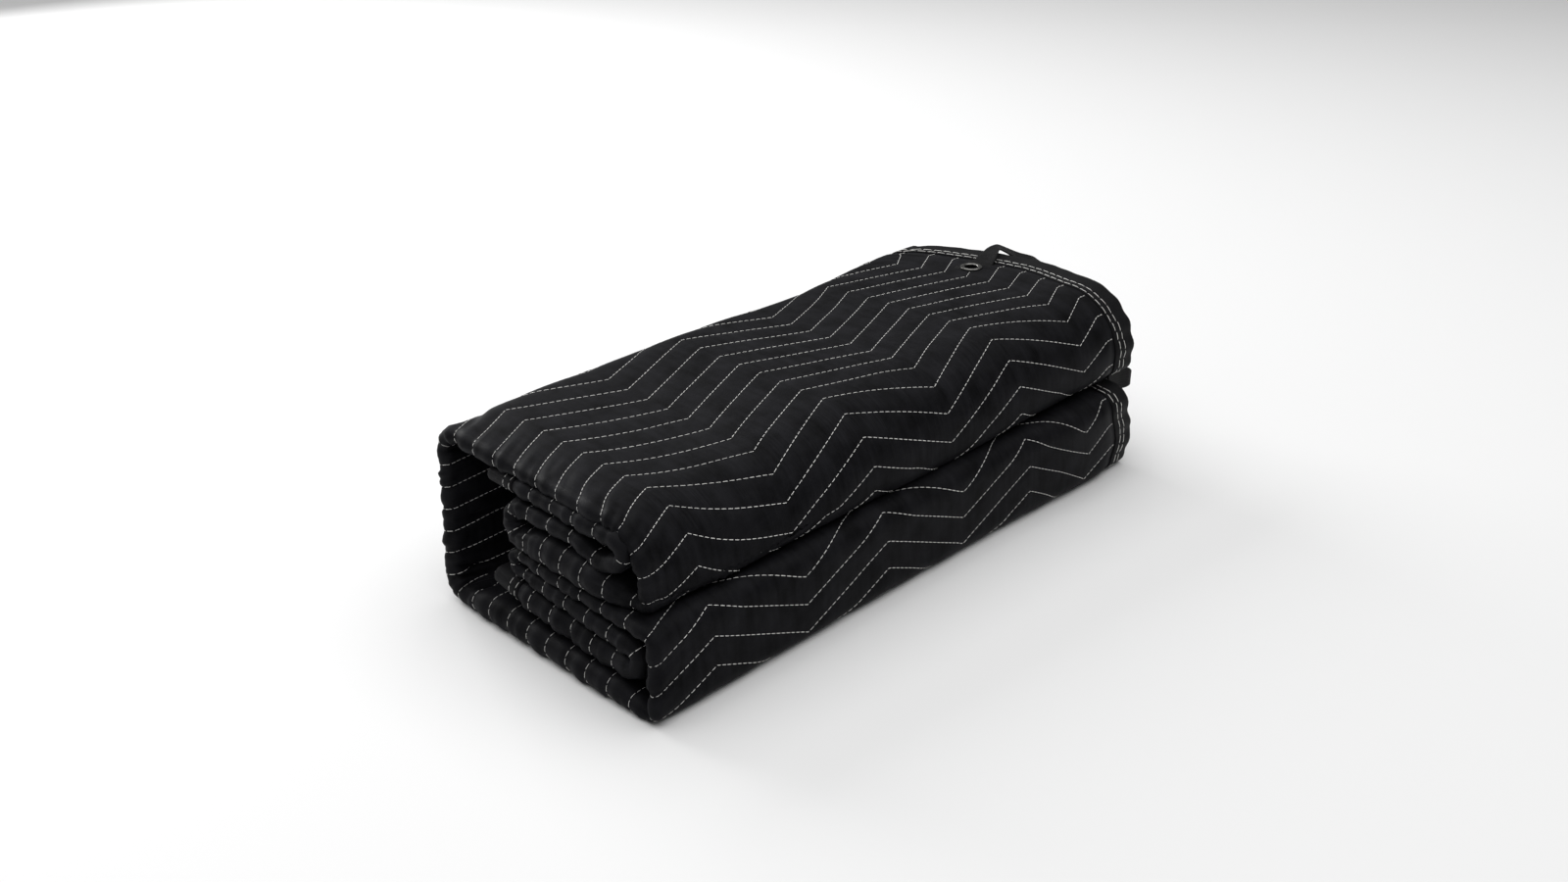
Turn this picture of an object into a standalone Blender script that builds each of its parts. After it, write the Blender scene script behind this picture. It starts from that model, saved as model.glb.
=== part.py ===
"""Quilted light blocking blanket, doubled end to end and folded into a closed pack.

Frame: metres, +Z up. The pack rests on z = 0, the front folds lie at -Y, the bound ends at +Y,
the closed spine at -X and the long side walls at +X.

The blanket is one padded sheet. Its length is doubled, so every band of the pack is two layers
that meet in a round fold at the front. Its width runs in one path of bands: from the upper side
edge right and left through the upper block, down the spine, and through the lower block to the
other side edge. FOLDS lists the corners of that path for the outer layer of the sheet.
"""
import math
from collections import namedtuple

import bmesh
import bpy
import numpy as np

# Size of the pack.
PACK_LENGTH = 0.645
ORIGIN_X = -0.136
ORIGIN_Y = 0.3380

# Quilting: zigzag rows of stitching with a raised channel between each two rows.
ROW_PITCH = 0.025
ZIGZAG_LENGTH = 0.200
ZIGZAG_SWING = 0.0408
FIRST_PEAK = 0.062
ROW_PHASE = 0.0095
KEEP_REACH = 0.045
SIGHT_MARGIN = 0.02
HALF_PUFF = 0.0027
HALF_SEAM = 0.0011
HALF_HEM = 0.0011
HEM_START = 0.610

# Edge binding: a tape folded over each cut edge.
TAPE_WIDTH = 0.028
TAPE_HALF = 0.0004
FIT_GAP = 0.0003
TAPE_GAP = 0.0007

# Eyelet, set through the strap and the sheet's outer layer near its bound end.
EYELET_X = -0.174
EYELET_Y = 0.584
EYELET_BORE = 0.0058
EYELET_BARREL = 0.0066
EYELET_FLANGE = 0.0114
EYELET_PLATE = 0.0009
CUT_RADIUS = 0.0070
CUT_REACH = 0.0048
PRESSED_REACH = 0.030
PRESSED_START = 0.55

# Webbing of the two loops.
STRAP_WIDTH = 0.025
STRAP_HALF = 0.0008

# The path of the sheet's outer layer, in travel order, one row for each corner.
# x and z are given at the front and at the back of the pack, and so is the corner's radius, bend.
# front says how far the fold stands back, and near and far are the distances between the two
# layers at the front and at the back. ease is the cloth's own length along the stretch that
# follows, for each unit of its drawn length. keep is the share of the zigzag that the mesh
# columns follow at the corner.
Fold = namedtuple("Fold", "name x_front z_front x_back z_back bend bend_back front near far"
                          " ease keep")
FOLDS = [
    Fold("upper edge", -0.200, 0.1258, -0.200, 0.1330, 0.0, 0.0, 0.011, 0.0100, 0.0100, 1, 0),
    Fold("upper inner head", -0.046, 0.1258, -0.058, 0.1325, 0.0042, 0.0038, 0.000, 0.0105, 0.0106, 1, 0),
    Fold("upper inner foot", -0.046, 0.1172, -0.058, 0.1247, 0.0042, 0.0038, 0.000, 0.0096, 0.0106, 1, 0),
    Fold("upper left head", -0.186, 0.1165, -0.182, 0.1257, 0.0162, 0.0155, 0.009, 0.0086, 0.0106, 1, 0),
    Fold("upper left foot", -0.186, 0.0838, -0.182, 0.0943, 0.0162, 0.0155, 0.005, 0.0126, 0.0110, 1, 0),
    Fold("upper wall foot", -0.0155, 0.0832, -0.0160, 0.0935, 0.013, 0.0132, 0.010, 0.0096, 0.0098, 1, 0),
    Fold("upper wall head", -0.0190, 0.1515, -0.0160, 0.1675, 0.030, 0.060, 0.010, 0.0086, 0.0110, 1, 1),
    Fold("spine head", -0.274, 0.1510, -0.280, 0.1720, 0.022, 0.018, 0.007, 0.0090, 0.0108, 1.2, 0.4),
    Fold("spine foot", -0.259, 0.0027, -0.266, 0.0027, 0.026, 0.026, -0.001, 0.0130, 0.0120, 1, 0.4),
    Fold("lower wall foot", 0.0080, 0.0027, -0.0020, 0.0027, 0.0092, 0.0135, -0.003, 0.0060, 0.0084, 1, 0),
    Fold("lower wall head", 0.0000, 0.0745, -0.0030, 0.0850, 0.014, 0.016, 0.000, 0.0076, 0.0092, 1, 0),
    Fold("lower left head", -0.173, 0.0760, -0.178, 0.0850, 0.0100, 0.0140, 0.007, 0.0068, 0.0098, 1, 0),
    Fold("lower left foot", -0.173, 0.0555, -0.178, 0.0565, 0.0100, 0.0140, 0.005, 0.0068, 0.0098, 1, 0),
    Fold("lower inner head", -0.025, 0.0430, -0.033, 0.0545, 0.0039, 0.0041, -0.001, 0.0090, 0.0110, 1, 0),
    Fold("lower inner foot", -0.025, 0.0350, -0.033, 0.0460, 0.0039, 0.0041, -0.001, 0.0100, 0.0110, 1, 0),
    Fold("lower edge", -0.197, 0.0490, -0.197, 0.0460, 0.0, 0.0, 0.003, 0.0120, 0.0110, 1, 0),
]

# The line of the bound end. Each row is a place, given from a corner of FOLDS on along the path,
# and how far the edge stands back there.
Hem = namedtuple("Hem", "corner beyond back")
HEM_LINE = [
    Hem(0, 0.000, 0.011),
    Hem(3, 0.000, 0.011),
    Hem(4, 0.000, 0.012),
    Hem(5, 0.000, 0.010),
    Hem(6, 0.000, 0.009),
    Hem(6, 0.085, -0.002),
    Hem(6, 0.105, -0.004),
    Hem(6, 0.130, -0.001),
    Hem(6, 0.160, 0.004),
    Hem(6, 0.200, 0.017),
    Hem(6, 0.220, 0.029),
    Hem(7, 0.000, 0.040),
    Hem(8, 0.000, 0.022),
    Hem(8, 0.100, 0.010),
    Hem(9, -0.080, 0.014),
    Hem(9, 0.000, 0.026),
    Hem(9, 0.028, 0.020),
    Hem(10, 0.000, 0.034),
    Hem(10, 0.090, 0.014),
    Hem(12, 0.000, 0.010),
    Hem(14, 0.000, 0.012),
    Hem(15, 0.000, 0.013),
]

# Stations along the length of the cloth, measured from the front fold line on its outer layer
# and, below zero, on its inner layer. The turn round the front fold has stations of its own.
# The stretches that lie inside the pack use only the plain stations.
OUTER_STATIONS = [0.645, 0.617, 0.603, 0.562, 0.512, 0.462, 0.412, 0.362, 0.312, 0.262, 0.212,
                  0.162, 0.112, 0.062, 0.030]
INNER_STATIONS = [-0.038, -0.100, -0.338, -0.603, -0.617, -0.640]
TURN_ANGLES = [90, 34, -34, -90]
PLAIN_STATIONS = [0.645, 0.617, 0.603, 0.412, 0.212, 0.062, 0.030, 0.0, -0.038, -0.338, -0.603,
                  -0.617, -0.640]

# The webbing loops, one row for each section: the middle's place, the distance along the pack,
# the height, and the direction of the webbing's width. On the first loop the rows up to the bound
# end lie on the cloth, so their height is taken above the cloth's middle.
Band = namedtuple("Band", "x y z width_x width_y width_z on_cloth")
TOP_STRAP = [
    Band(-0.174, 0.5715, 0.0026, 1.0, 0.0, 0.0, True),
    Band(-0.174, 0.6000, 0.0026, 1.0, 0.0, 0.0, True),
    Band(-0.175, 0.6100, 0.0046, 1.0, 0.0, 0.0, True),
    Band(-0.179, 0.6330, 0.0046, 1.0, 0.0, 0.0, True),
    Band(-0.183, 0.6460, 0.0065, 1.0, 0.0, 0.0, True),
    Band(-0.184, 0.6565, 0.1748, 0.8, -0.6, 0.1, False),
    Band(-0.177, 0.6660, 0.1705, 0.3, -0.9, 0.2, False),
    Band(-0.165, 0.6690, 0.1672, 0.0, -0.9, 0.3, False),
    Band(-0.150, 0.6650, 0.1635, 0.0, -0.5, 0.9, False),
    Band(-0.141, 0.6600, 0.1615, 0.0, -0.3, 0.9, False),
    Band(-0.133, 0.6545, 0.1600, 0.0, -0.1, 1.0, False),
    Band(-0.124, 0.6505, 0.1590, 0.0, -0.1, 1.0, False),
]
SIDE_STRAP = [
    Band(-0.0175, 0.6354, 0.1040, 0.0, 0.0, 1.0, False),
    Band(-0.0160, 0.6410, 0.0950, 0.0, 0.1, 1.0, False),
    Band(-0.0135, 0.6470, 0.0830, 0.0, 0.1, 1.0, False),
    Band(-0.0175, 0.6540, 0.0770, 0.0, 0.0, 1.0, False),
    Band(-0.0290, 0.6580, 0.0770, 0.1, 0.0, 1.0, False),
    Band(-0.0400, 0.6560, 0.0790, 0.5, 0.0, 0.8, False),
    Band(-0.0480, 0.6490, 0.0840, 0.9, 0.0, 0.4, False),
    Band(-0.0520, 0.6440, 0.0885, 1.0, 0.0, 0.0, False),
    Band(-0.0520, 0.6368, 0.0925, 1.0, 0.0, 0.0, False),
]


def lerp(a, b, t):
    """The value a fraction t of the way from a to b."""
    return a + (b - a) * t


def smooth(t):
    """A smooth step from 0 to 1."""
    t = min(max(t, 0.0), 1.0)
    return t * t * (3 - 2 * t)


def zigzag(w):
    """Sideways shift of a stitch row at the distance w along the cloth."""
    phase = (w - FIRST_PEAK) / ZIGZAG_LENGTH
    return ZIGZAG_SWING / 2 * (1 - 4 * abs(phase - round(phase)))


def path_pieces(v):
    """Straight and round pieces of the outer layer's path at the fraction v of the length."""
    points = [np.array([lerp(c.x_front, c.x_back, v), lerp(c.z_front, c.z_back, v)]) for c in FOLDS]
    pieces = []
    start = points[0]
    for i in range(1, len(points) - 1):
        before = points[i] - points[i - 1]
        after = points[i + 1] - points[i]
        run_in = before / np.linalg.norm(before)
        run_out = after / np.linalg.norm(after)
        turn = math.atan2(run_in[0] * run_out[1] - run_in[1] * run_out[0], run_in @ run_out)
        bend = lerp(FOLDS[i].bend, FOLDS[i].bend_back, v)
        reach = bend * abs(math.tan(turn / 2))
        enter = points[i] - run_in * reach
        side = math.copysign(1.0, turn)
        centre = enter + side * bend * np.array([-run_in[1], run_in[0]])
        pieces.append(("line", start, enter, np.linalg.norm(enter - start)))
        pieces.append(("arc", centre, enter, bend * abs(turn), turn))
        start = points[i] + run_out * reach
    pieces.append(("line", start, points[-1], np.linalg.norm(points[-1] - start)))
    return pieces


def flat_knots():
    """Distance across the flat cloth at which each piece of the path starts and ends."""
    knots = [0.0]
    for i, piece in enumerate(path_pieces(0.5)):
        ease = FOLDS[i // 2].ease if i % 2 == 0 else 1.0
        knots.append(knots[-1] + piece[3] * ease)
    return knots


KNOTS = flat_knots()
CORNER_AT = [(KNOTS[2 * i - 1] + KNOTS[2 * i]) / 2 for i in range(1, len(FOLDS) - 1)]
CORNER_AT = [0.0] + CORNER_AT + [KNOTS[-1]]
CLOTH_WIDTH = KNOTS[-1]

# Numbers of the path's pieces between which the cloth is in sight, on the walls, top and spine,
# and between which it lies on the ground.
FIRST_WALL = 9
LAST_WALL = 20
SPINE_FOOT_END = 16
BASE_END = 17


def along(name, s):
    """One column of FOLDS, blended to the distance s across the cloth."""
    return float(np.interp(s, CORNER_AT, [getattr(c, name) for c in FOLDS]))


def hem_knots():
    """Places of HEM_LINE across the cloth; the edge runs level round a corner that has a row."""
    places, backs = [], []
    for row in HEM_LINE:
        at_corner = row.beyond == 0.0 and 0 < row.corner < len(FOLDS) - 1
        spots = [CORNER_AT[row.corner] + row.beyond]
        if at_corner:
            spots = KNOTS[2 * row.corner - 1:2 * row.corner + 1]
        places += spots
        backs += [row.back] * len(spots)
    return places, backs


HEM_KNOTS = hem_knots()


def hem_back(s):
    """How far the bound end stands back at the distance s across the cloth."""
    return float(np.interp(s, *HEM_KNOTS))


def path_point(pieces, s):
    """Point and outward normal, in XZ, of the outer layer at the distance s across the cloth."""
    s = min(max(s, 0.0), CLOTH_WIDTH)
    i = min(int(np.searchsorted(KNOTS, s, side="right")) - 1, len(pieces) - 1)
    part = (s - KNOTS[i]) / (KNOTS[i + 1] - KNOTS[i])
    piece = pieces[i]
    if piece[0] == "line":
        run = piece[2] - piece[1]
        run = run / np.linalg.norm(run)
        return lerp(piece[1], piece[2], part), np.array([run[1], -run[0]])
    angle = piece[4] * part
    arm = piece[2] - piece[1]
    turned = np.array([arm[0] * math.cos(angle) - arm[1] * math.sin(angle),
                       arm[0] * math.sin(angle) + arm[1] * math.cos(angle)])
    outward = turned / np.linalg.norm(turned)
    return piece[1] + turned, outward if piece[4] > 0 else -outward


def layer_point(s, w, angle=None):
    """Point of the sheet's middle at s across and w along the cloth, or on the front turn."""
    gap_near = along("near", s)
    front = along("front", s)
    quarter = math.pi * gap_near / 4
    if angle is not None:
        turn = math.radians(angle)
        y = front + gap_near / 2 * (1 - math.cos(turn))
        depth = gap_near / 2 * (1 - math.sin(turn))
    else:
        run = abs(w)
        share = run / PACK_LENGTH
        y = run - quarter + gap_near / 2 + front * (1 - smooth(run / 0.09))
        y -= hem_back(s) * smooth((run - 0.40) / 0.24)
        gap = lerp(gap_near, along("far", s), smooth(share * 1.4))
        depth = 0.0 if w > 0 else gap
    point, outward = path_point(path_pieces(min(max(y / PACK_LENGTH, 0.0), 1.0)), s)
    point = point - outward * depth
    return (point[0] - ORIGIN_X, y - ORIGIN_Y, point[1])


def top_layer_at(x, y):
    """Distance across the cloth and height of the middle of the pack's top layer at x and y."""
    pieces = path_pieces(min(max(y / PACK_LENGTH, 0.0), 1.0))
    low, high = CORNER_AT[6], CORNER_AT[7]
    for _ in range(30):
        s = (low + high) / 2
        point = path_point(pieces, s)[0]
        if point[0] > x:
            low = s
        else:
            high = s
    return s, float(point[1])


def puff(s):
    """Half of the sheet's thickness at the distance s across it, thin at each stitch row."""
    wave = abs(math.sin(math.pi * (s - ROW_PHASE) / ROW_PITCH))
    return lerp(HALF_SEAM, HALF_PUFF, wave)


def corner_marks():
    """Distances across the cloth where a column is needed: the tapes and the path's corners."""
    marks = [0.0, TAPE_WIDTH, CLOTH_WIDTH - TAPE_WIDTH, CLOTH_WIDTH]
    for i in range(1, len(FOLDS) - 1):
        start, end = KNOTS[2 * i - 1], KNOTS[2 * i]
        marks += [start, (start + end) / 2, end]
    return marks


def columns():
    """Distances across the cloth of the mesh columns: the corner marks, and between them the
    stitch rows and channel tops by turns."""
    marks = corner_marks()
    steps = range(math.floor(CLOTH_WIDTH / ROW_PITCH * 2))
    regular = [ROW_PHASE + ROW_PITCH / 2 * i for i in steps]
    regular = [s for s in regular if min(abs(s - m) for m in marks) > ROW_PITCH * 0.24]
    found = []
    for s in sorted(marks + regular):
        if not found or s - found[-1] > 0.0015:
            found.append(s)
    return found


def end_columns():
    """The mesh columns that reach the bound ends, which are flat and need fewer."""
    marks = corner_marks()
    found = []
    for s in columns():
        if not found or s in marks or s - found[-1] > ROW_PITCH * 0.8:
            found.append(s)
    return found


def stations():
    """Stations along the cloth from its outer bound end, round the front fold, to its inner one."""
    return ([(w, None) for w in OUTER_STATIONS] + [(0.0, a) for a in TURN_ANGLES]
            + [(w, None) for w in INNER_STATIONS])


def kept(s):
    """The share of the zigzag that a mesh column follows at the distance s across the cloth: none
    inside the pack, and less near a corner."""
    if not KNOTS[FIRST_WALL] < s < KNOTS[LAST_WALL]:
        return 0.0
    share = 1.0
    for i, corner in enumerate(FOLDS[1:-1], 1):
        clear = max(KNOTS[2 * i - 1] - s, s - KNOTS[2 * i], 0.0)
        share = min(share, lerp(corner.keep, 1.0, smooth(clear / KEEP_REACH)))
    return share


def shifted(s, w):
    """The place across the cloth of a mesh column, moved by the zigzag where it is kept."""
    return s + zigzag(min(max(w, -0.603), 0.603)) * kept(s)


def cloth_point(s, station):
    """Point of the sheet's middle for a mesh column at a station of the cloth."""
    w, angle = station
    if angle is not None:
        w = along("near", s) / 2 * math.radians(angle)
    return layer_point(shifted(s, w), w, angle)


def pick_material(name, colour, roughness, metallic):
    """A Principled BSDF material."""
    material = bpy.data.materials.new(name)
    material.use_nodes = True
    shader = material.node_tree.nodes["Principled BSDF"]
    shader.inputs["Base Color"].default_value = (*colour, 1.0)
    shader.inputs["Roughness"].default_value = roughness
    shader.inputs["Metallic"].default_value = metallic
    material.diffuse_color = (*colour, 1.0)
    return material


def sheet_piece(name, points, faces, thickness, material, parts, shares=None):
    """A thin sheet through points, thickened to both sides, with a share of it at each point."""
    mesh = bpy.data.meshes.new(name)
    mesh.from_pydata(points, [], faces)
    mesh.shade_smooth()
    mesh.materials.append(material)
    piece = bpy.data.objects.new(name, mesh)
    parts.objects.link(piece)
    solid = piece.modifiers.new("Thickness", "SOLIDIFY")
    solid.thickness = thickness
    solid.offset = 0.0
    if shares:
        group = piece.vertex_groups.new(name="Thickness")
        for i, share in enumerate(shares):
            group.add([i], share, "REPLACE")
        solid.vertex_group = group.name
    return piece


def lofted(name, rows, thickness, material, parts):
    """A band lofted through rows of points."""
    count = len(rows[0])
    points = [tuple(point) for row in rows for point in row]
    faces = []
    for r in range(len(rows) - 1):
        for c in range(count - 1):
            corner = r * count + c
            faces.append((corner, corner + count, corner + count + 1, corner + 1))
    return sheet_piece(name, points, faces, thickness, material, parts)


def strip_faces(number, row_count, c):
    """Faces between the columns c and c + 1, over the rows between the two bound ends."""
    faces = []
    r = 2
    while r < row_count - 3:
        end = r + 1
        while (end, c) not in number or (end, c + 1) not in number:
            end += 1
        left = [number[k, c] for k in range(r, end + 1) if (k, c) in number]
        right = [number[k, c + 1] for k in range(end, r - 1, -1) if (k, c + 1) in number]
        faces.append(left + right)
        r = end
    return faces


def end_faces(number, row_count, a, b):
    """Faces between the end columns a and b, from both bound ends to where all columns start."""
    last = row_count - 1
    across = range(a, b + 1)
    outer = [number[1, a]] + [number[2, c] for c in across] + [number[1, b]]
    inner = [number[last - 2, a], number[last - 1, a], number[last - 1, b]]
    inner += [number[last - 2, c] for c in reversed(across[1:])]
    faces = [outer, inner]
    for r in (0, last - 1):
        faces.append([number[r, a], number[r + 1, a], number[r + 1, b], number[r, b]])
    return faces


EYELET_ACROSS = top_layer_at(EYELET_X, EYELET_Y)[0]


def in_sight(s):
    """Whether the distance s across the cloth lies on the pack's outside, walls or spine."""
    return KNOTS[FIRST_WALL] - SIGHT_MARGIN < s < KNOTS[LAST_WALL] + SIGHT_MARGIN


def half_thickness(s, station):
    """Half of the sheet's thickness for a mesh column at a station."""
    w = station[0]
    place = shifted(s, w)
    if abs(w) > HEM_START or s <= TAPE_WIDTH or s >= CLOTH_WIDTH - TAPE_WIDTH:
        return HALF_HEM
    if w > PRESSED_START and abs(place - EYELET_ACROSS) < PRESSED_REACH:
        return HALF_HEM
    if w > 0 and KNOTS[SPINE_FOOT_END] < place < KNOTS[BASE_END]:
        return HALF_PUFF
    return puff(s)


def make_blanket(material, parts):
    """The folded, quilted sheet."""
    across = columns()
    ends = end_columns()
    marks = stations()
    number, points, shares = {}, [], []
    for r, station in enumerate(marks):
        at_end = r in (0, 1, len(marks) - 2, len(marks) - 1)
        plain = station[0] in PLAIN_STATIONS
        for c, s in enumerate(across):
            if (s in ends) if at_end else (plain or in_sight(s)):
                number[r, c] = len(points)
                points.append(cloth_point(s, station))
                shares.append(half_thickness(s, station) / HALF_PUFF)
    faces = []
    for c in range(len(across) - 1):
        faces += strip_faces(number, len(marks), c)
    for a, b in zip(ends, ends[1:]):
        faces += end_faces(number, len(marks), across.index(a), across.index(b))
    return sheet_piece("quilted_blanket", points, faces, 2 * HALF_PUFF, material, parts, shares)


def tape_rows(inners, edges):
    """Sections of the tape's middle line round a cut edge, four points each, from one face to the
    other, at points inners on the cloth and points edges on its edge."""
    count = len(edges)
    normals = []
    for i in range(count - 1):
        across = np.cross(edges[i] - inners[i], inners[i + 1] - inners[i])
        normals.append(across / np.linalg.norm(across))
    rows = []
    for i in range(count):
        normal = normals[max(i - 1, 0)] + normals[min(i, count - 2)]
        lift = normal / np.linalg.norm(normal) * (HALF_HEM + TAPE_GAP + TAPE_HALF)
        out = edges[i] - inners[i]
        tip = edges[i] + out / np.linalg.norm(out) * (TAPE_GAP + TAPE_HALF)
        rows.append([inners[i] + lift, tip + lift, tip - lift, inners[i] - lift])
    return rows


def make_end_binding(name, side, material, parts):
    """The tape along a bound end: side is 1 on the outer layer and -1 on the inner one."""
    inner_w, edge_w = (0.617, 0.645) if side > 0 else (-0.617, -0.640)
    clear = TAPE_WIDTH + 2 * FIT_GAP
    across = [s for s in end_columns() if clear < s < CLOTH_WIDTH - clear]
    across = [clear] + across + [CLOTH_WIDTH - clear]
    inners = [np.array(cloth_point(s, (inner_w, None))) for s in across]
    edges = [np.array(cloth_point(s, (edge_w, None))) for s in across]
    return lofted(name, tape_rows(inners, edges), 2 * TAPE_HALF, material, parts)


def make_side_binding(name, inner_s, edge_s, material, parts):
    """The tape along a side edge, doubled round the front fold with the cloth."""
    marks = [m for m in stations() if m[0] in PLAIN_STATIONS]
    inners = [np.array(cloth_point(inner_s, m)) for m in marks]
    edges = [np.array(cloth_point(edge_s, m)) for m in marks]
    return lofted(name, tape_rows(inners, edges), 2 * TAPE_HALF, material, parts)


def strap_sections(table):
    """Rows of two edge points for each section of a webbing loop."""
    rows = []
    for band in table:
        width = np.array([band.width_x, band.width_y, band.width_z])
        width = width / np.linalg.norm(width)
        middle = np.array([band.x - ORIGIN_X, band.y - ORIGIN_Y, band.z])
        if band.on_cloth:
            middle[2] += top_layer_at(band.x, band.y)[1]
        rows.append([tuple(middle - width * STRAP_WIDTH / 2), tuple(middle + width * STRAP_WIDTH / 2)])
    return rows


def make_strap(name, table, material, parts):
    """A webbing loop through the sections of a table."""
    return lofted(name, strap_sections(table), 2 * STRAP_HALF, material, parts)


def turned_ring(name, profile, place, slope, collection):
    """A closed ring turned about Z from a profile of radius and height, tipped by slope."""
    mesh = bpy.data.meshes.new(name)
    count = len(profile)
    mesh.from_pydata([(r, 0.0, z) for r, z in profile], [(i, (i + 1) % count) for i in range(count)], [])
    ring = bpy.data.objects.new(name, mesh)
    ring.location = place
    ring.rotation_euler = slope
    collection.objects.link(ring)
    screw = ring.modifiers.new("Turn", "SCREW")
    screw.steps = 20
    screw.render_steps = 20
    screw.use_merge_vertices = True
    screw.merge_threshold = 0.00001
    screw.use_normal_calculate = True
    screw.use_normal_flip = True
    return ring


def eyelet_place():
    """Middle of the outer layer at the eyelet and the tilt of the cloth there."""
    step = 0.008
    here = top_layer_at(EYELET_X, EYELET_Y)[1]
    ahead = top_layer_at(EYELET_X, EYELET_Y + step)[1]
    beside = top_layer_at(EYELET_X + step, EYELET_Y)[1]
    slope = (math.atan2(ahead - here, step), -math.atan2(beside - here, step), 0.0)
    return (EYELET_X - ORIGIN_X, EYELET_Y - ORIGIN_Y, here), slope


def make_eyelet(material, parts, place, slope):
    """The metal eyelet: a barrel with a flange above the strap and one under the cloth."""
    top = TOP_STRAP[0].z + STRAP_HALF + FIT_GAP
    low = -HALF_HEM - 3 * FIT_GAP
    inner, outer, flange, plate = EYELET_BORE, EYELET_BARREL, EYELET_FLANGE, EYELET_PLATE
    profile = [(inner, low - plate), (flange, low - plate), (flange, low), (outer, low), (outer, top),
               (flange, top), (flange - 0.0006, top + 0.7 * plate), (inner + 0.0022, top + 1.1 * plate),
               (inner, top + 0.6 * plate)]
    ring = turned_ring("eyelet_top", profile, place, slope, parts)
    ring.data.materials.append(material)
    return ring


def make_cutter(place, slope, collection):
    """The cylinder that cuts the eyelet's hole through the strap and the cloth's outer layer."""
    shape = bmesh.new()
    bmesh.ops.create_cone(shape, cap_ends=True, segments=24, radius1=CUT_RADIUS, radius2=CUT_RADIUS,
                          depth=2 * CUT_REACH)
    mesh = bpy.data.meshes.new("eyelet_cutter")
    shape.to_mesh(mesh)
    shape.free()
    cutter = bpy.data.objects.new("eyelet_cutter", mesh)
    cutter.location = place
    cutter.rotation_euler = slope
    cutter.hide_render = True
    cutter.display_type = "WIRE"
    collection.objects.link(cutter)
    return cutter


def cut_hole(piece, cutter):
    """Cut one piece by the cutter."""
    cut = piece.modifiers.new("Hole", "BOOLEAN")
    cut.operation = "DIFFERENCE"
    cut.solver = "EXACT"
    cut.object = cutter


def main():
    """Clear the scene and build every piece."""
    for old in list(bpy.data.objects):
        bpy.data.objects.remove(old, do_unlink=True)
    parts = bpy.data.collections.new("light_blocking_blanket")
    cutters = bpy.data.collections.new("cutters")
    for collection in (parts, cutters):
        bpy.context.scene.collection.children.link(collection)
    cutters.hide_render = True
    cloth = pick_material("brushed_black_cloth", (0.018, 0.018, 0.021), 0.85, 0.0)
    tape = pick_material("black_binding_tape", (0.014, 0.014, 0.016), 0.75, 0.0)
    webbing = pick_material("black_webbing", (0.012, 0.012, 0.014), 0.7, 0.0)
    metal = pick_material("nickel_plated_eyelet", (0.55, 0.55, 0.57), 0.3, 1.0)
    blanket = make_blanket(cloth, parts)
    make_end_binding("end_binding_outer", 1, tape, parts)
    make_end_binding("end_binding_inner", -1, tape, parts)
    make_side_binding("side_binding_upper", TAPE_WIDTH, 0.0, tape, parts)
    make_side_binding("side_binding_lower", CLOTH_WIDTH - TAPE_WIDTH, CLOTH_WIDTH, tape, parts)
    strap = make_strap("tab_strap_top", TOP_STRAP, webbing, parts)
    make_strap("tab_strap_side", SIDE_STRAP, webbing, parts)
    place, slope = eyelet_place()
    make_eyelet(metal, parts, place, slope)
    cutter = make_cutter(place, slope, cutters)
    cut_hole(blanket, cutter)
    cut_hole(strap, cutter)


main()
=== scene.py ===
"""Looks of a quilted light blocking blanket, folded into a closed pack.

The cloth is one padded sheet. Its length is doubled over at the front of the pack, and its width runs
back and forth in one path of bands. A place on the flat cloth is given by c, the distance across it
from the upper side edge, in line with the rows of stitching, and w, the distance along it from the
front fold line: above zero on the outer layer, and below zero on the inner one. All lengths are in
metres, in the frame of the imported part.
"""

import logging
import math
from dataclasses import dataclass
from enum import Enum, IntEnum
from typing import NamedTuple, Sequence

import bpy
import numpy as np
from mathutils import Euler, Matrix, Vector


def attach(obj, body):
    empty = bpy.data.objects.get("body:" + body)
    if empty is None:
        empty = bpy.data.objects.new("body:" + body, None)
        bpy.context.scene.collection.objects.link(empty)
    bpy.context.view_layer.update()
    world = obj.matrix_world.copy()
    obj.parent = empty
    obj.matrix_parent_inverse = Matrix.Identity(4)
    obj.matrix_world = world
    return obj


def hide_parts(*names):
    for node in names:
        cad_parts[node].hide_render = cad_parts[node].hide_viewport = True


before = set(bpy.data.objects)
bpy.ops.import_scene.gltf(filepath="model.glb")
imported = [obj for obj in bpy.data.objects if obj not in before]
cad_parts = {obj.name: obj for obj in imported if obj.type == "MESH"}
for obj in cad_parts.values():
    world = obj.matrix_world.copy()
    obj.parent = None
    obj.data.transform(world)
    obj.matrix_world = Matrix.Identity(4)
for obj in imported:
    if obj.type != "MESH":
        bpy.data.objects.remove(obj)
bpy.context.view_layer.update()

LOG = logging.getLogger("blanket")

# A wave texture of scale 1 has this many bands in a metre.
WAVE_BANDS = 20.0 / 6.2832
ORIGIN = (-0.136, 0.338)
PACK_LENGTH = 0.645
OUTER_END = 0.645
INNER_END = -0.640
ROW_PITCH = 0.025
ROW_PHASE = 0.0009
ZIGZAG_LENGTH = 0.200
ZIGZAG_SWING = 0.0412
FIRST_PEAK = 0.0615


class Fold(NamedTuple):
    """A corner of the outer layer's path, in travel order, at the front and the back of the pack.

    far is the distance between the middles of the two layers at the back, and ease stretches the flat
    cloth's run to the next corner.
    """

    name: str
    x_front: float
    z_front: float
    x_back: float
    z_back: float
    bend: float
    bend_back: float
    far: float
    ease: float


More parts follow.
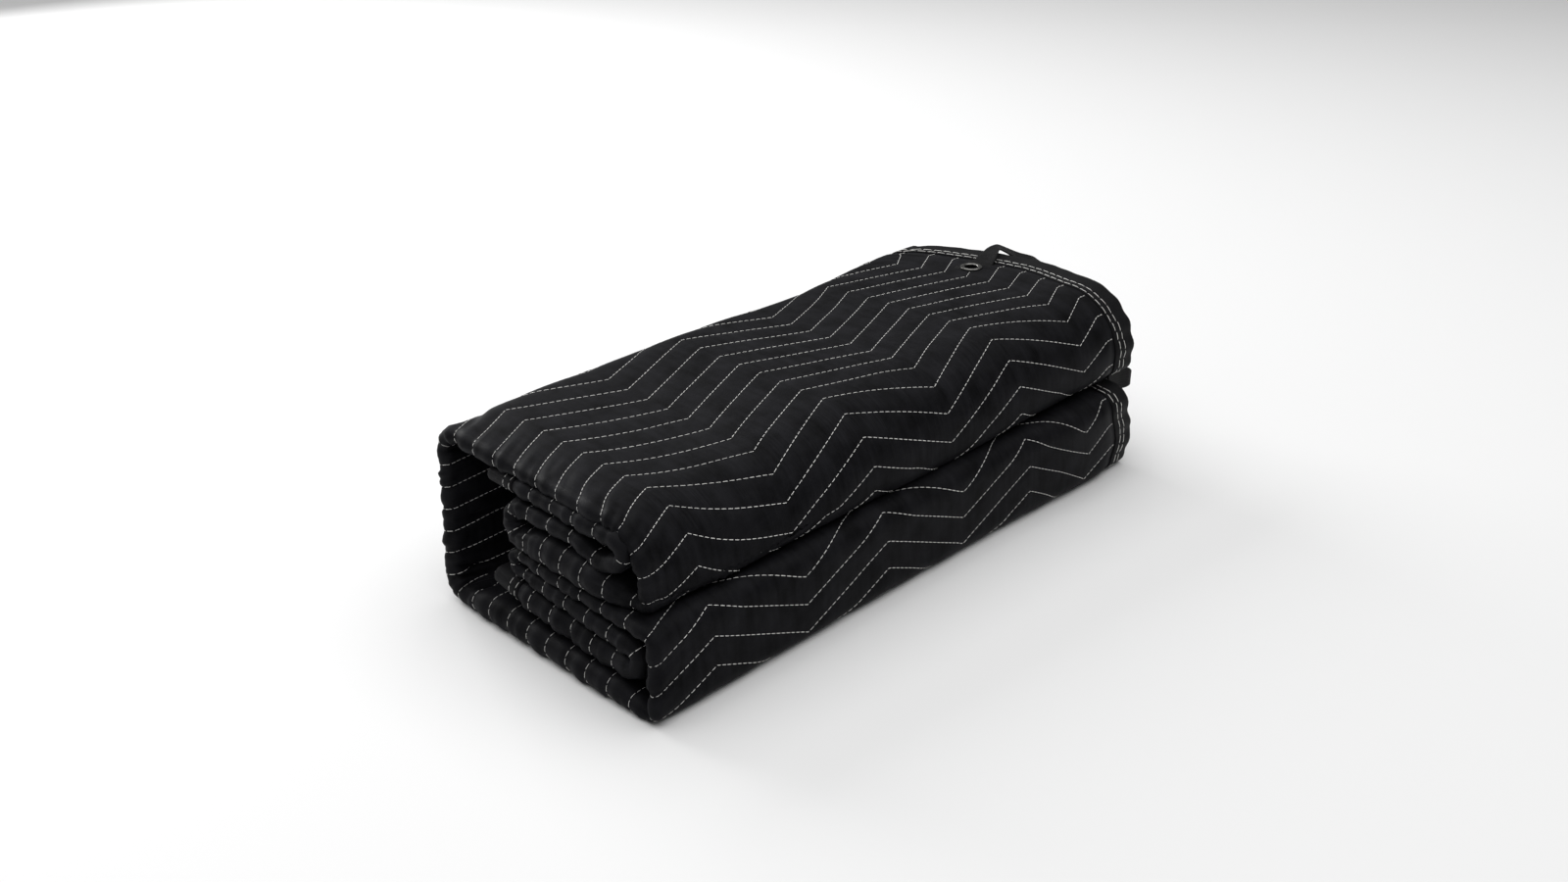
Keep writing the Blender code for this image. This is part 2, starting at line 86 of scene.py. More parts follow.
FOLDS = (
    Fold("upper edge", -0.200, 0.1277, -0.200, 0.1330, 0.0, 0.0, 0.0100, 1),
    Fold("upper inner head", -0.043, 0.1278, -0.062, 0.1325, 0.0032, 0.0038, 0.0106, 1),
    Fold("upper inner foot", -0.043, 0.1214, -0.062, 0.1247, 0.0032, 0.0038, 0.0106, 1),
    Fold("upper left head", -0.178, 0.1215, -0.182, 0.1257, 0.0188, 0.0155, 0.0106, 1),
    Fold("upper left foot", -0.178, 0.0838, -0.182, 0.0943, 0.0188, 0.0155, 0.0110, 1),
    Fold("upper wall foot", -0.0190, 0.0778, -0.0120, 0.0930, 0.012, 0.0132, 0.0098, 1),
    Fold("upper wall head", -0.0140, 0.1455, -0.0155, 0.1730, 0.056, 0.060, 0.0110, 1),
    Fold("spine head", -0.274, 0.1515, -0.280, 0.1725, 0.022, 0.018, 0.0108, 1.2),
    Fold("spine foot", -0.259, 0.0027, -0.266, 0.0027, 0.026, 0.026, 0.0120, 1.013),
    Fold("lower wall foot", 0.0080, 0.0027, -0.0020, 0.0027, 0.0092, 0.0135, 0.0084, 1),
    Fold("lower wall head", 0.0000, 0.0735, -0.0030, 0.0840, 0.014, 0.016, 0.0092, 1),
    Fold("lower left head", -0.173, 0.0783, -0.178, 0.0850, 0.0102, 0.0140, 0.0098, 1),
    Fold("lower left foot", -0.173, 0.0577, -0.178, 0.0565, 0.0102, 0.0140, 0.0098, 1),
    Fold("lower inner head", -0.025, 0.0455, -0.033, 0.0545, 0.0032, 0.0041, 0.0110, 1),
    Fold("lower inner foot", -0.025, 0.0390, -0.033, 0.0460, 0.0032, 0.0041, 0.0110, 1),
    Fold("lower edge", -0.191, 0.0520, -0.197, 0.0460, 0.0, 0.0, 0.0110, 1),
)


class Corner(IntEnum):
    """Numbers of the corners that other forms are placed by."""

    UPPER_WALL_FOOT = 5
    UPPER_WALL_HEAD = 6
    SPINE_HEAD = 7
    SPINE_FOOT = 8
    LOWER_WALL_FOOT = 9
    LOWER_WALL_HEAD = 10


class Lean(NamedTuple):
    """A corner's shift, and its bend's change, round one place along the pack."""

    corner: int
    along: float
    reach: float
    x: float
    z: float
    bend: float = 0.0


LEANS = (
    Lean(5, 0.150, 0.090, 0.0030, 0.0000),
    Lean(5, 0.350, 0.100, -0.0010, -0.0060),
    Lean(6, 0.100, 0.060, 0.0040, -0.0090),
    Lean(6, 0.250, 0.090, 0.0010, -0.0010),
    Lean(6, 0.420, 0.090, -0.0020, 0.0010),
    Lean(7, 0.100, 0.060, -0.0040, 0.0015),
    Lean(7, 0.420, 0.090, 0.0040, -0.0055),
    Lean(7, 0.640, 0.060, 0.0000, -0.0038),
    Lean(6, 0.000, 0.024, 0.0020, 0.0000, -0.0150),
    Lean(9, 0.550, 0.085, 0.0050, 0.0000),
    Lean(10, 0.550, 0.085, 0.0090, 0.0000),
)


class Roll(NamedTuple):
    """The rounded front of a band, at a distance beyond a corner of the path.

    gap is the distance between the middles of the two layers, and front is where the fold line stands.
    """

    corner: int
    beyond: float
    gap: float
    front: float


ROLLS = (
    Roll(0, 0.000, 0.0085, 0.0110),
    Roll(0, 0.050, 0.0095, 0.0095),
    Roll(1, -0.020, 0.0095, 0.0080),
    Roll(1, 0.000, 0.0085, 0.0075),
    Roll(2, 0.000, 0.0085, 0.0070),
    Roll(3, -0.050, 0.0096, 0.0065),
    Roll(3, 0.000, 0.0110, 0.0060),
    Roll(4, 0.000, 0.0150, 0.0040),
    Roll(4, 0.050, 0.0225, 0.0015),
    Roll(5, -0.045, 0.0225, 0.0020),
    Roll(5, -0.020, 0.0110, 0.0090),
    Roll(5, 0.000, 0.0062, 0.0160),
    Roll(6, 0.000, 0.0064, 0.0133),
    Roll(6, 0.050, 0.0076, 0.0123),
    Roll(7, 0.000, 0.0082, 0.0115),
    Roll(8, 0.000, 0.0130, -0.0010),
    Roll(8, 0.060, 0.0190, -0.0025),
    Roll(9, -0.040, 0.0150, -0.0030),
    Roll(9, 0.000, 0.0060, -0.0010),
    Roll(9, 0.020, 0.0058, 0.0005),
    Roll(10, 0.000, 0.0060, 0.0043),
    Roll(10, 0.030, 0.0074, 0.0048),
    Roll(11, 0.000, 0.0066, 0.0048),
    Roll(12, 0.000, 0.0068, 0.0045),
    Roll(12, 0.050, 0.0120, 0.0035),
    Roll(13, 0.000, 0.0105, 0.0035),
    Roll(14, 0.000, 0.0130, 0.0025),
    Roll(14, 0.030, 0.0168, 0.0021),
    Roll(15, -0.040, 0.0166, 0.0021),
    Roll(15, 0.000, 0.0110, 0.0030),
)


class Hem(NamedTuple):
    """How far the bound end stands back, at a distance beyond a corner of the path."""

    corner: int
    beyond: float
    back: float


HEM_LINE = (
    Hem(0, 0.000, 0.011),
    Hem(3, 0.000, 0.011),
    Hem(4, 0.000, 0.012),
    Hem(5, 0.000, 0.008),
    Hem(6, 0.000, 0.007),
    Hem(6, 0.085, -0.002),
    Hem(6, 0.105, -0.004),
    Hem(6, 0.130, -0.001),
    Hem(6, 0.160, 0.004),
    Hem(6, 0.200, 0.017),
    Hem(6, 0.220, 0.029),
    Hem(7, 0.000, 0.040),
    Hem(8, 0.000, 0.022),
    Hem(8, 0.100, 0.010),
    Hem(9, -0.080, 0.014),
    Hem(9, 0.000, 0.024),
    Hem(9, 0.028, 0.018),
    Hem(10, 0.000, 0.032),
    Hem(10, 0.090, 0.014),
    Hem(12, 0.000, 0.010),
    Hem(14, 0.000, 0.012),
    Hem(15, 0.000, 0.013),
)


class Swell(NamedTuple):
    """A broad soft rise (or, below zero, a hollow) of both layers of the cloth."""

    across: float
    along: float
    reach_across: float
    reach_along: float
    rise: float


SWELLS = (
    Swell(0.735, 0.200, 0.030, 0.110, 0.0015),
    Swell(0.170, 0.000, 0.017, 0.060, -0.0095),
)


class Crease(NamedTuple):
    """A soft trough (or, above zero, a ridge) of the outer layer between two places of the cloth.

    start and end are distances across, beyond a corner of the path, and w_start and w_end lie along it.
    """

    corner: int
    start: float
    w_start: float
    end: float
    w_end: float
    reach: float
    rise: float


CREASES = (
    Crease(6, 0.045, 0.350, -0.015, 0.470, 0.012, -0.0016),
    Crease(6, 0.030, 0.250, -0.025, 0.330, 0.010, -0.0014),
    Crease(6, 0.020, 0.120, -0.030, 0.190, 0.009, -0.0011),
    Crease(7, 0.094, -0.004, 0.100, -0.060, 0.0045, -0.0042),
    Crease(7, 0.084, -0.004, 0.089, -0.055, 0.0050, 0.0022),
    Crease(7, -0.022, -0.002, 0.004, -0.040, 0.0033, -0.0036),
    Crease(7, -0.008, -0.002, 0.014, -0.045, 0.0033, -0.0036),
    Crease(7, 0.008, 0.004, 0.026, -0.045, 0.0033, -0.0030),
    Crease(7, -0.020, 0.014, 0.000, 0.060, 0.0037, -0.0024),
    Crease(7, -0.006, 0.008, 0.008, 0.055, 0.0037, -0.0024),
    Crease(7, 0.008, 0.006, 0.018, 0.050, 0.0032, -0.0019),
    Crease(8, -0.044, 0.000, -0.026, -0.050, 0.0039, -0.0037),
    Crease(8, -0.028, -0.002, -0.008, -0.045, 0.0039, -0.0051),
    Crease(8, -0.012, -0.002, 0.010, -0.045, 0.0039, -0.0051),
    Crease(8, 0.006, 0.000, 0.026, -0.045, 0.0039, -0.0043),
    Crease(8, 0.024, 0.002, 0.040, -0.045, 0.0037, -0.0031),
    Crease(3, 0.006, -0.010, -0.032, -0.006, 0.0024, -0.0018),
    Crease(3, 0.010, -0.005, -0.034, 0.003, 0.0024, -0.0020),
    Crease(3, 0.012, 0.002, -0.030, 0.012, 0.0024, -0.0016),
    Crease(4, -0.006, -0.004, 0.032, -0.012, 0.0024, -0.0016),
    Crease(4, -0.008, 0.002, 0.040, -0.002, 0.0024, -0.0020),
    Crease(4, -0.006, 0.008, 0.036, 0.009, 0.0024, -0.0017),
    Crease(5, -0.002, 0.001, -0.040, -0.013, 0.0025, -0.0020),
    Crease(5, -0.001, 0.003, -0.046, -0.003, 0.0025, -0.0022),
    Crease(5, 0.000, 0.005, -0.042, 0.008, 0.0025, -0.0019),
    Crease(12, -0.010, 0.002, 0.034, 0.003, 0.0024, -0.0015),
    Crease(11, 0.010, 0.000, -0.030, -0.003, 0.0024, -0.0014),
    Crease(14, 0.066, -0.010, 0.074, 0.008, 0.0030, -0.0032),
    Crease(14, 0.080, -0.008, 0.086, 0.010, 0.0034, 0.0014),
)


def smooth(t: np.ndarray) -> np.ndarray:
    """A smooth step from 0 to 1."""
    t = np.clip(t, 0.0, 1.0)
    return t * t * (3 - 2 * t)


class Noise:
    """Smooth value noise on a lattice that repeats every SIZE cells."""

    SIZE = 128

    def __init__(self, seed: int) -> None:
        """Draw the lattice.

        Args:
            seed: number that fixes the lattice.
        """
        self.lattice = np.random.default_rng(seed).uniform(-1, 1, (self.SIZE, self.SIZE))

    def at(self, u: np.ndarray, v: np.ndarray) -> np.ndarray:
        """Noise between -1 and 1.

        Args:
            u: first coordinates, in cells.
            v: second coordinates, in cells.

        Returns:
            One value for each place.
        """
        i = np.floor(u).astype(int)
        j = np.floor(v).astype(int)
        a = smooth(u - i)
        b = smooth(v - j)
        corner = [self.lattice[(i + p) % self.SIZE, (j + q) % self.SIZE] for p in (0, 1) for q in (0, 1)]
        low = corner[0] * (1 - b) + corner[1] * b
        high = corner[2] * (1 - b) + corner[3] * b
        return low * (1 - a) + high * a

    def over(self, c: np.ndarray, w: np.ndarray, cell: tuple[float, float], skip: float = 0) -> np.ndarray:
        """Noise at places on the cloth, for a cell's size across and along, some cells further on."""
        return self.at(c / cell[0] + skip, w / cell[1])


def zigzag(w: np.ndarray) -> np.ndarray:
    """Sideways shift of a row of stitching at the distance w along the cloth."""
    phase = (w - FIRST_PEAK) / ZIGZAG_LENGTH
    return ZIGZAG_SWING / 2 * (1 - 4 * np.abs(phase - np.round(phase)))


class FoldPath:
    """The path of the cloth's outer layer, seen along the pack."""

    def __init__(self, folds: Sequence[Fold]) -> None:
        """Read the corners and lay out the flat cloth along them.

        Args:
            folds: corners in travel order.
        """
        self.folds = folds
        self.near_points = np.array([(f.x_front, f.z_front) for f in folds])
        self.far_points = np.array([(f.x_back, f.z_back) for f in folds])
        self.near_bends = np.array([f.bend for f in folds[1:-1]])
        self.far_bends = np.array([f.bend_back for f in folds[1:-1]])
        self.knots = self._flat_knots()
        middles = (self.knots[1:-1:2] + self.knots[2::2]) / 2
        self.corners = np.concatenate([[0.0], middles, [self.knots[-1]]])
        self.width = float(self.knots[-1])

    def _layout(self, share: np.ndarray) -> tuple[np.ndarray, ...]:
        """Corner geometry at each share of the pack's length.

        Args:
            share: fractions of the length, from 0 at the front to 1 at the back.

        Returns:
            Unit directions, turn angles, bend radii, and the points where each bend starts and ends.
        """
        t = share[:, None]
        points = self.near_points + (self.far_points - self.near_points) * t[..., None]
        bend = self.near_bends + (self.far_bends - self.near_bends) * t
        for lean in LEANS:
            bell = np.exp(-((share * PACK_LENGTH - lean.along) / lean.reach) ** 2)
            points[:, lean.corner] += bell[:, None] * np.array([lean.x, lean.z])
            bend[:, lean.corner - 1] += bell * lean.bend
        run = np.diff(points, axis=1)
        run /= np.linalg.norm(run, axis=2, keepdims=True)
        first, second = run[:, :-1], run[:, 1:]
        turn = np.arctan2(first[..., 0] * second[..., 1] - first[..., 1] * second[..., 0],
                          (first * second).sum(2))
        reach = (bend * np.abs(np.tan(turn / 2)))[..., None]
        enter = points[:, 1:-1] - first * reach
        leave = points[:, 1:-1] + second * reach
        starts = np.concatenate([points[:, :1], leave], axis=1)
        ends = np.concatenate([enter, points[:, -1:]], axis=1)
        return run, turn, bend, starts, ends

    def _flat_knots(self) -> np.ndarray:
        """Distances across the flat cloth at which the lines and bends of the path start and end.

        Returns:
            The distances, in rising order.
        """
        _, turn, bend, starts, ends = self._layout(np.array([0.5]))
        lines = np.linalg.norm(ends - starts, axis=2)[0] * np.array([f.ease for f in self.folds[:-1]])
        bends = (bend * np.abs(turn))[0]
        lengths = np.zeros(len(lines) + len(bends))
        lengths[0::2] = lines
        lengths[1::2] = bends
        return np.concatenate([[0.0], np.cumsum(lengths)])

    def start(self, corner: int) -> float:
        """Distance across the flat cloth at which a corner's bend starts."""
        return float(self.knots[2 * corner - 1])

    def end(self, corner: int) -> float:
        """Distance across the flat cloth at which a corner's bend ends."""
        return float(self.knots[2 * corner])

    def blend(self, name: str, across: np.ndarray) -> np.ndarray:
        """One column of the folds' table, blended to each distance across the cloth."""
        return np.interp(across, self.corners, [getattr(f, name) for f in self.folds])

    def place(self, across: np.ndarray, share: np.ndarray) -> tuple[np.ndarray, np.ndarray]:
        """Points of the path.

        Args:
            across: distances across the flat cloth.
            share: fractions of the pack's length.

        Returns:
            Points and outward unit normals, both in X and Z.
        """
        across = np.clip(across, 0.0, self.width - 1e-9)
        run, turn, bend, starts, ends = self._layout(share)
        piece = np.searchsorted(self.knots, across, side="right") - 1
        part = (across - self.knots[piece]) / (self.knots[piece + 1] - self.knots[piece])
        every = np.arange(len(across))
        line = (piece + 1) // 2
        line_start, line_end = starts[every, line], ends[every, line]
        line_run = run[every, line]
        on_line = line_start + (line_end - line_start) * part[:, None]
        line_out = np.stack([line_run[:, 1], -line_run[:, 0]], axis=1)
        corner = np.clip((piece - 1) // 2, 0, len(self.folds) - 3)
        angle = turn[every, corner]
        side = np.sign(angle)
        enter = ends[every, corner]
        inward = np.stack([-run[every, corner, 1], run[every, corner, 0]], axis=1) * side[:, None]
        centre = enter + inward * bend[every, corner][:, None]
        arm = enter - centre
        cos, sin = np.cos(angle * part), np.sin(angle * part)
        turned = np.stack([arm[:, 0] * cos - arm[:, 1] * sin, arm[:, 0] * sin + arm[:, 1] * cos], axis=1)
        bend_out = turned / np.linalg.norm(turned, axis=1, keepdims=True) * side[:, None]
        straight = (piece % 2 == 0)[:, None]
        return np.where(straight, on_line, centre + turned), np.where(straight, line_out, bend_out)


class Face(Enum):
    """The two faces of the sheet: the one in sight, and the one between its doubled layers."""

    SHOWN = 1
    HIDDEN = -1


@dataclass
class FoldedCloth:
    """The sheet in its folds, which turns places on the flat cloth into points of the pack.

    A field that ends in end, side or from says where on the cloth a form starts or stops, and one that
    ends in reach or ease says over what distance it fades. A cell is the size of a noise's cell, across
    and along the cloth.
    """

    half_thickness: float = 0.0027
    half_hem: float = 0.0012
    thin_end: float = 0.616
    thin_side: float = 0.026
    thin_ease: float = 0.016
    plain_end: float = 0.612
    plain_side: float = 0.030
    seam_depth: float = 0.00045
    seam_reach: float = 0.0026
    crown: float = 0.00025
    crown_cell: tuple[float, float] = (0.031, 0.055)
    dimple: float = 0.00025
    dimple_cell: tuple[float, float] = (0.018, 0.030)
    sway: float = 0.0006
    sway_cell: tuple[float, float] = (0.060, 0.090)
    fold_gather: float = 0.0013
    gather_cell: tuple[float, float] = (0.0052, 0.030)
    gather_reach: float = 0.030
    ease_reach: float = 0.045
    inner_slant: float = 0.12
    zigzag_end: float = 0.603
    front_reach: float = 0.09
    back_from: float = 0.40
    back_reach: float = 0.24
    wave: float = 0.0012
    wave_length: float = 0.021
    wave_from: float = 0.605
    wall_ease: float = 0.02
    shoulder: float = 0.05
    base: float = 0.0006
    step: float = 0.0006

    def __post_init__(self) -> None:
        """Lay out the path and the noises."""
        self.path = FoldPath(FOLDS)
        self.width = self.path.width
        self.hem_spots, self.hem_backs = self._spread(HEM_LINE, "back")
        self.roll_spots, self.roll_gaps = self._spread(ROLLS, "gap")
        self.roll_fronts = self._spread(ROLLS, "front")[1]
        self.broad = Noise(11)
        self.gather = Noise(37)

    def _spread(self, table: Sequence[NamedTuple], column: str) -> tuple[list[float], list[float]]:
        """Places across the cloth, and values there, of one column of a table.

        Args:
            table: rows that give a corner and a distance beyond it.
            column: the name of the column.

        Returns:
            Distances across, and values; a value stays level round a corner that has a row of its own.
        """
        spots, values = [], []
        for row in table:
            found = [self.path.corners[row.corner] + row.beyond]
            if row.beyond == 0.0 and 0 < row.corner < len(FOLDS) - 1:
                found = [self.path.start(row.corner), self.path.end(row.corner)]
            spots += found
            values += [getattr(row, column)] * len(found)
        return spots, values

    def shown_span(self) -> tuple[float, float]:
        """Distances across between which the cloth is on the pack's outside."""
        return self.path.start(Corner.UPPER_WALL_FOOT), self.path.end(Corner.LOWER_WALL_HEAD)

    def across(self, c: np.ndarray, w: np.ndarray) -> np.ndarray:
        """Distance across the flat cloth of places in line with the rows of stitching.

        Args:
            c: row coordinates across the cloth.
            w: distances along the cloth.

        Returns:
            One distance for each place.
        """
        first, last = self.shown_span()
        kept = smooth((c - first) / self.ease_reach + 1) * smooth((last - c) / self.ease_reach + 1)
        run = np.where(w > 0, w, w * self.inner_slant)
        return c + zigzag(np.clip(run, -self.zigzag_end, self.zigzag_end)) * kept

    def on_walls(self, c: np.ndarray) -> np.ndarray:
        """How far each place across lies on one of the two walls, from 0 to 1.

        Args:
            c: row coordinates across the cloth.

        Returns:
            One share for each place.
        """
        first, last = self.shown_span()
        upper_head = self.path.start(Corner.UPPER_WALL_HEAD) + self.shoulder
        lower_foot = self.path.start(Corner.LOWER_WALL_FOOT)
        upper = smooth((c - first) / self.wall_ease) * smooth((upper_head - c) / self.shoulder)
        lower = smooth((c - lower_foot) / self.wall_ease) * smooth((last - c) / self.wall_ease)
        return np.maximum(upper, lower)

    def middle(self, c: np.ndarray, w: np.ndarray) -> np.ndarray:
        """Points of the sheet's middle surface.

        Args:
            c: row coordinates across the cloth.
            w: distances along the cloth.

        Returns:
            One point for each place.
        """
        across = self.across(c, w)
        near = np.interp(across, self.roll_spots, self.roll_gaps)
        far = self.path.blend("far", across)
        front = np.interp(across, self.roll_spots, self.roll_fronts)
        back = np.interp(across, self.hem_spots, self.hem_backs)
        quarter = np.pi * near / 4
        run = np.abs(w)
        past = np.maximum(run - quarter, 0.0)
        angle = np.clip(2 * w / near, -np.pi / 2, np.pi / 2)
        on_turn = run < quarter
        y_turn = front + near / 2 * (1 - np.cos(angle))
        y_flat = past + near / 2 + front * (1 - smooth(past / self.front_reach))
        y_flat -= back * smooth((run - self.back_from) / self.back_reach)
        y = np.where(on_turn, y_turn, y_flat)
        gap = near + (far - near) * smooth(run / PACK_LENGTH * 1.4)
        depth = np.where(on_turn, near / 2 * (1 - np.sin(angle)), np.where(w > 0, 0.0, gap))
        depth = depth - self.swell(across, y) - self._edge_wave(c, w)
        share = np.clip(y / PACK_LENGTH, 0.0, 1.0)
        points, outward = self.path.place(across, share)
        spot = points - outward * depth[:, None]
        return np.stack([spot[:, 0] - ORIGIN[0], y - ORIGIN[1], spot[:, 1]], axis=1)

    def swell(self, across: np.ndarray, y: np.ndarray) -> np.ndarray:
        """Broad rises and hollows of the pack at each place.

        Args:
            across: distances across the flat cloth.
            y: distances from the front of the pack.

        Returns:
            One height for each place.
        """
        total = np.zeros_like(across)
        for s in SWELLS:
            total += s.rise * np.exp(-((across - s.across) / s.reach_across) ** 2
                                     - ((y - s.along) / s.reach_along) ** 2)
        return total

    def _edge_wave(self, c: np.ndarray, w: np.ndarray) -> np.ndarray:
        """Waves of the bound end, where the tape has drawn the cloth in.

        Args:
            c: row coordinates across the cloth.
            w: distances along the cloth.

        Returns:
            One depth for each place.
        """
        near_end = smooth((np.abs(w) - self.wave_from) / 0.04)
        first, last = self.shown_span()
        in_span = smooth((c - first) / self.wall_ease) * smooth((last - c) / self.wall_ease)
        top_start = self.path.start(Corner.UPPER_WALL_HEAD) + 0.03
        top_end = self.path.end(Corner.SPINE_HEAD)
        on_top = smooth((c - top_start) / 0.05) * smooth((top_end - c) / 0.03)
        uneven = 2.0 * self.broad.at(c / 0.05, w * 0 + 3.5)
        waves = np.sin(2 * np.pi * c / self.wave_length + uneven)
        return self.wave * (1 - 0.85 * on_top) * near_end * in_span * waves * np.sign(w)

    def normal(self, c: np.ndarray, w: np.ndarray) -> np.ndarray:
        """Unit normals of the middle surface, towards the shown face.

        Args:
            c: row coordinates across the cloth.
            w: distances along the cloth.

        Returns:
            One normal for each place.
        """
        e = self.step
        side = self.middle(c + e, w) - self.middle(c - e, w)
        ahead = self.middle(c, w + e) - self.middle(c, w - e)
        found = np.cross(ahead, side)
        return found / np.maximum(np.linalg.norm(found, axis=1, keepdims=True), 1e-12)

    def half(self, c: np.ndarray, w: np.ndarray) -> np.ndarray:
        """Half of the sheet's thickness, which thins to the bound edges.

        Args:
            c: row coordinates across the cloth.
            w: distances along the cloth.

        Returns:
            One half thickness for each place.
        """
        to_end = smooth((self.thin_end - np.abs(w)) / self.thin_ease)
        to_side = smooth((np.minimum(c, self.width - c) - self.thin_side) / self.thin_ease)
        return self.half_hem + (self.half_thickness - self.half_hem) * to_end * to_side

    def relief(self, c: np.ndarray, w: np.ndarray) -> np.ndarray:
        """Rise of the shown face above the sheet's even thickness: quilting, gathers and creases.

        Args:
            c: row coordinates across the cloth.
            w: distances along the cloth.

        Returns:
            One rise for each place.
        """
        quilted = smooth((self.plain_end - np.abs(w)) / 0.014)
        quilted = quilted * smooth((np.minimum(c, self.width - c) - self.plain_side) / 0.012)
        phase = (c - ROW_PHASE) / ROW_PITCH
        off_seam = np.abs(phase - np.round(phase)) * ROW_PITCH
        seam = np.exp(-(off_seam / self.seam_reach) ** 2)
        channel = np.cos(np.pi * off_seam / ROW_PITCH)
        at_fold = np.exp(-(w / self.gather_reach) ** 2)
        uneven = 1 + 0.35 * self.broad.over(c, w, self.crown_cell)
        rise = -self.seam_depth * seam * (1 + 0.6 * at_fold)
        rise += self.crown * (1 - channel ** 4) * uneven * (1 + 1.2 * at_fold)
        rise += self.dimple * self.broad.over(c, w, self.dimple_cell, 7)
        rise += self.sway * self.broad.over(c, w, self.sway_cell, 40)
        pulled = self.gather.over(c, w, self.gather_cell)
        rise += pulled * self.fold_gather * at_fold * (1 - 0.5 * seam)
        for crease in CREASES:
            rise += self._crease(crease, c, w)
        return rise * quilted

    def _crease(self, crease: Crease, c: np.ndarray, w: np.ndarray) -> np.ndarray:
        """Rise of one crease, fading at its ends.

        Args:
            crease: the crease.
            c: row coordinates across the cloth.
            w: distances along the cloth.

        Returns:
            One rise for each place.
        """
        run_c, run_w = crease.end - crease.start, crease.w_end - crease.w_start
        length = math.hypot(run_c, run_w)
        from_start = self.across(c, w) - self.path.corners[crease.corner] - crease.start
        t = (from_start * run_c + (w - crease.w_start) * run_w) / length ** 2
        off = (from_start * run_w - (w - crease.w_start) * run_c) / length
        inside = np.clip(t, 0, 1)
        off_ends = (t - inside) * length
        fade = np.sin(np.pi * np.clip(inside, 0.03, 0.97)) ** 0.5
        return crease.rise * fade * np.exp(-(off / crease.reach) ** 2 - (off_ends / crease.reach) ** 2)

    def surface(self, c: np.ndarray, w: np.ndarray, face: Face = Face.SHOWN,
                lift: np.ndarray | float = 0.0) -> np.ndarray:
        """Points on one face of the sheet, or lifted off it.

        Args:
            c: row coordinates across the cloth.
            w: distances along the cloth.
            face: the face.
            lift: height above the face.

        Returns:
            One point for each place.
        """
        rise = self.half(c, w) + lift
        if face is Face.SHOWN:
            rise = rise + self.relief(c, w)
        points = self.middle(c, w) + self.normal(c, w) * (face.value * rise)[:, None]
        points[:, 2] = np.maximum(points[:, 2], self.base)
        return points


def linear(hex_colour: str) -> tuple[float, float, float, float]:
    """An sRGB hex colour as linear RGBA.

    Args:
        hex_colour: the colour, as # and six digits.

    Returns:
        Red, green, blue and alpha.
    """
    parts = [int(hex_colour[i:i + 2], 16) / 255 for i in (1, 3, 5)]
    flat = [p / 12.92 if p <= 0.04045 else ((p + 0.055) / 1.055) ** 2.4 for p in parts]
    return (*flat, 1.0)


def add_node(tree: bpy.types.NodeTree, kind: str, settings: dict | None = None,
             links: dict | None = None) -> bpy.types.Node:
    """Add one node.

    Args:
        tree: the node tree.
        kind: the node's type name, without ShaderNode.
        settings: attributes of the node, or values of its inputs, by name or number.
        links: sockets to link, by the name or number of the input that each goes to.

    Returns:
        The new node.
    """
    node = tree.nodes.new("ShaderNode" + kind)
    for key, value in (settings or {}).items():
        if isinstance(key, str) and hasattr(node, key):
            setattr(node, key, value)
        else:
            node.inputs[key].default_value = value
    for key, socket in (links or {}).items():
        tree.links.new(socket, node.inputs[key])
    return node


def new_tree(name: str) -> tuple[bpy.types.Material, bpy.types.NodeTree]:
    """A new material and its empty node tree.

    Args:
        name: the material's name.

    Returns:
        The material and its tree.
    """
    material = bpy.data.materials.new(name)
    material.use_nodes = True
    material.node_tree.nodes.clear()
    return material, material.node_tree


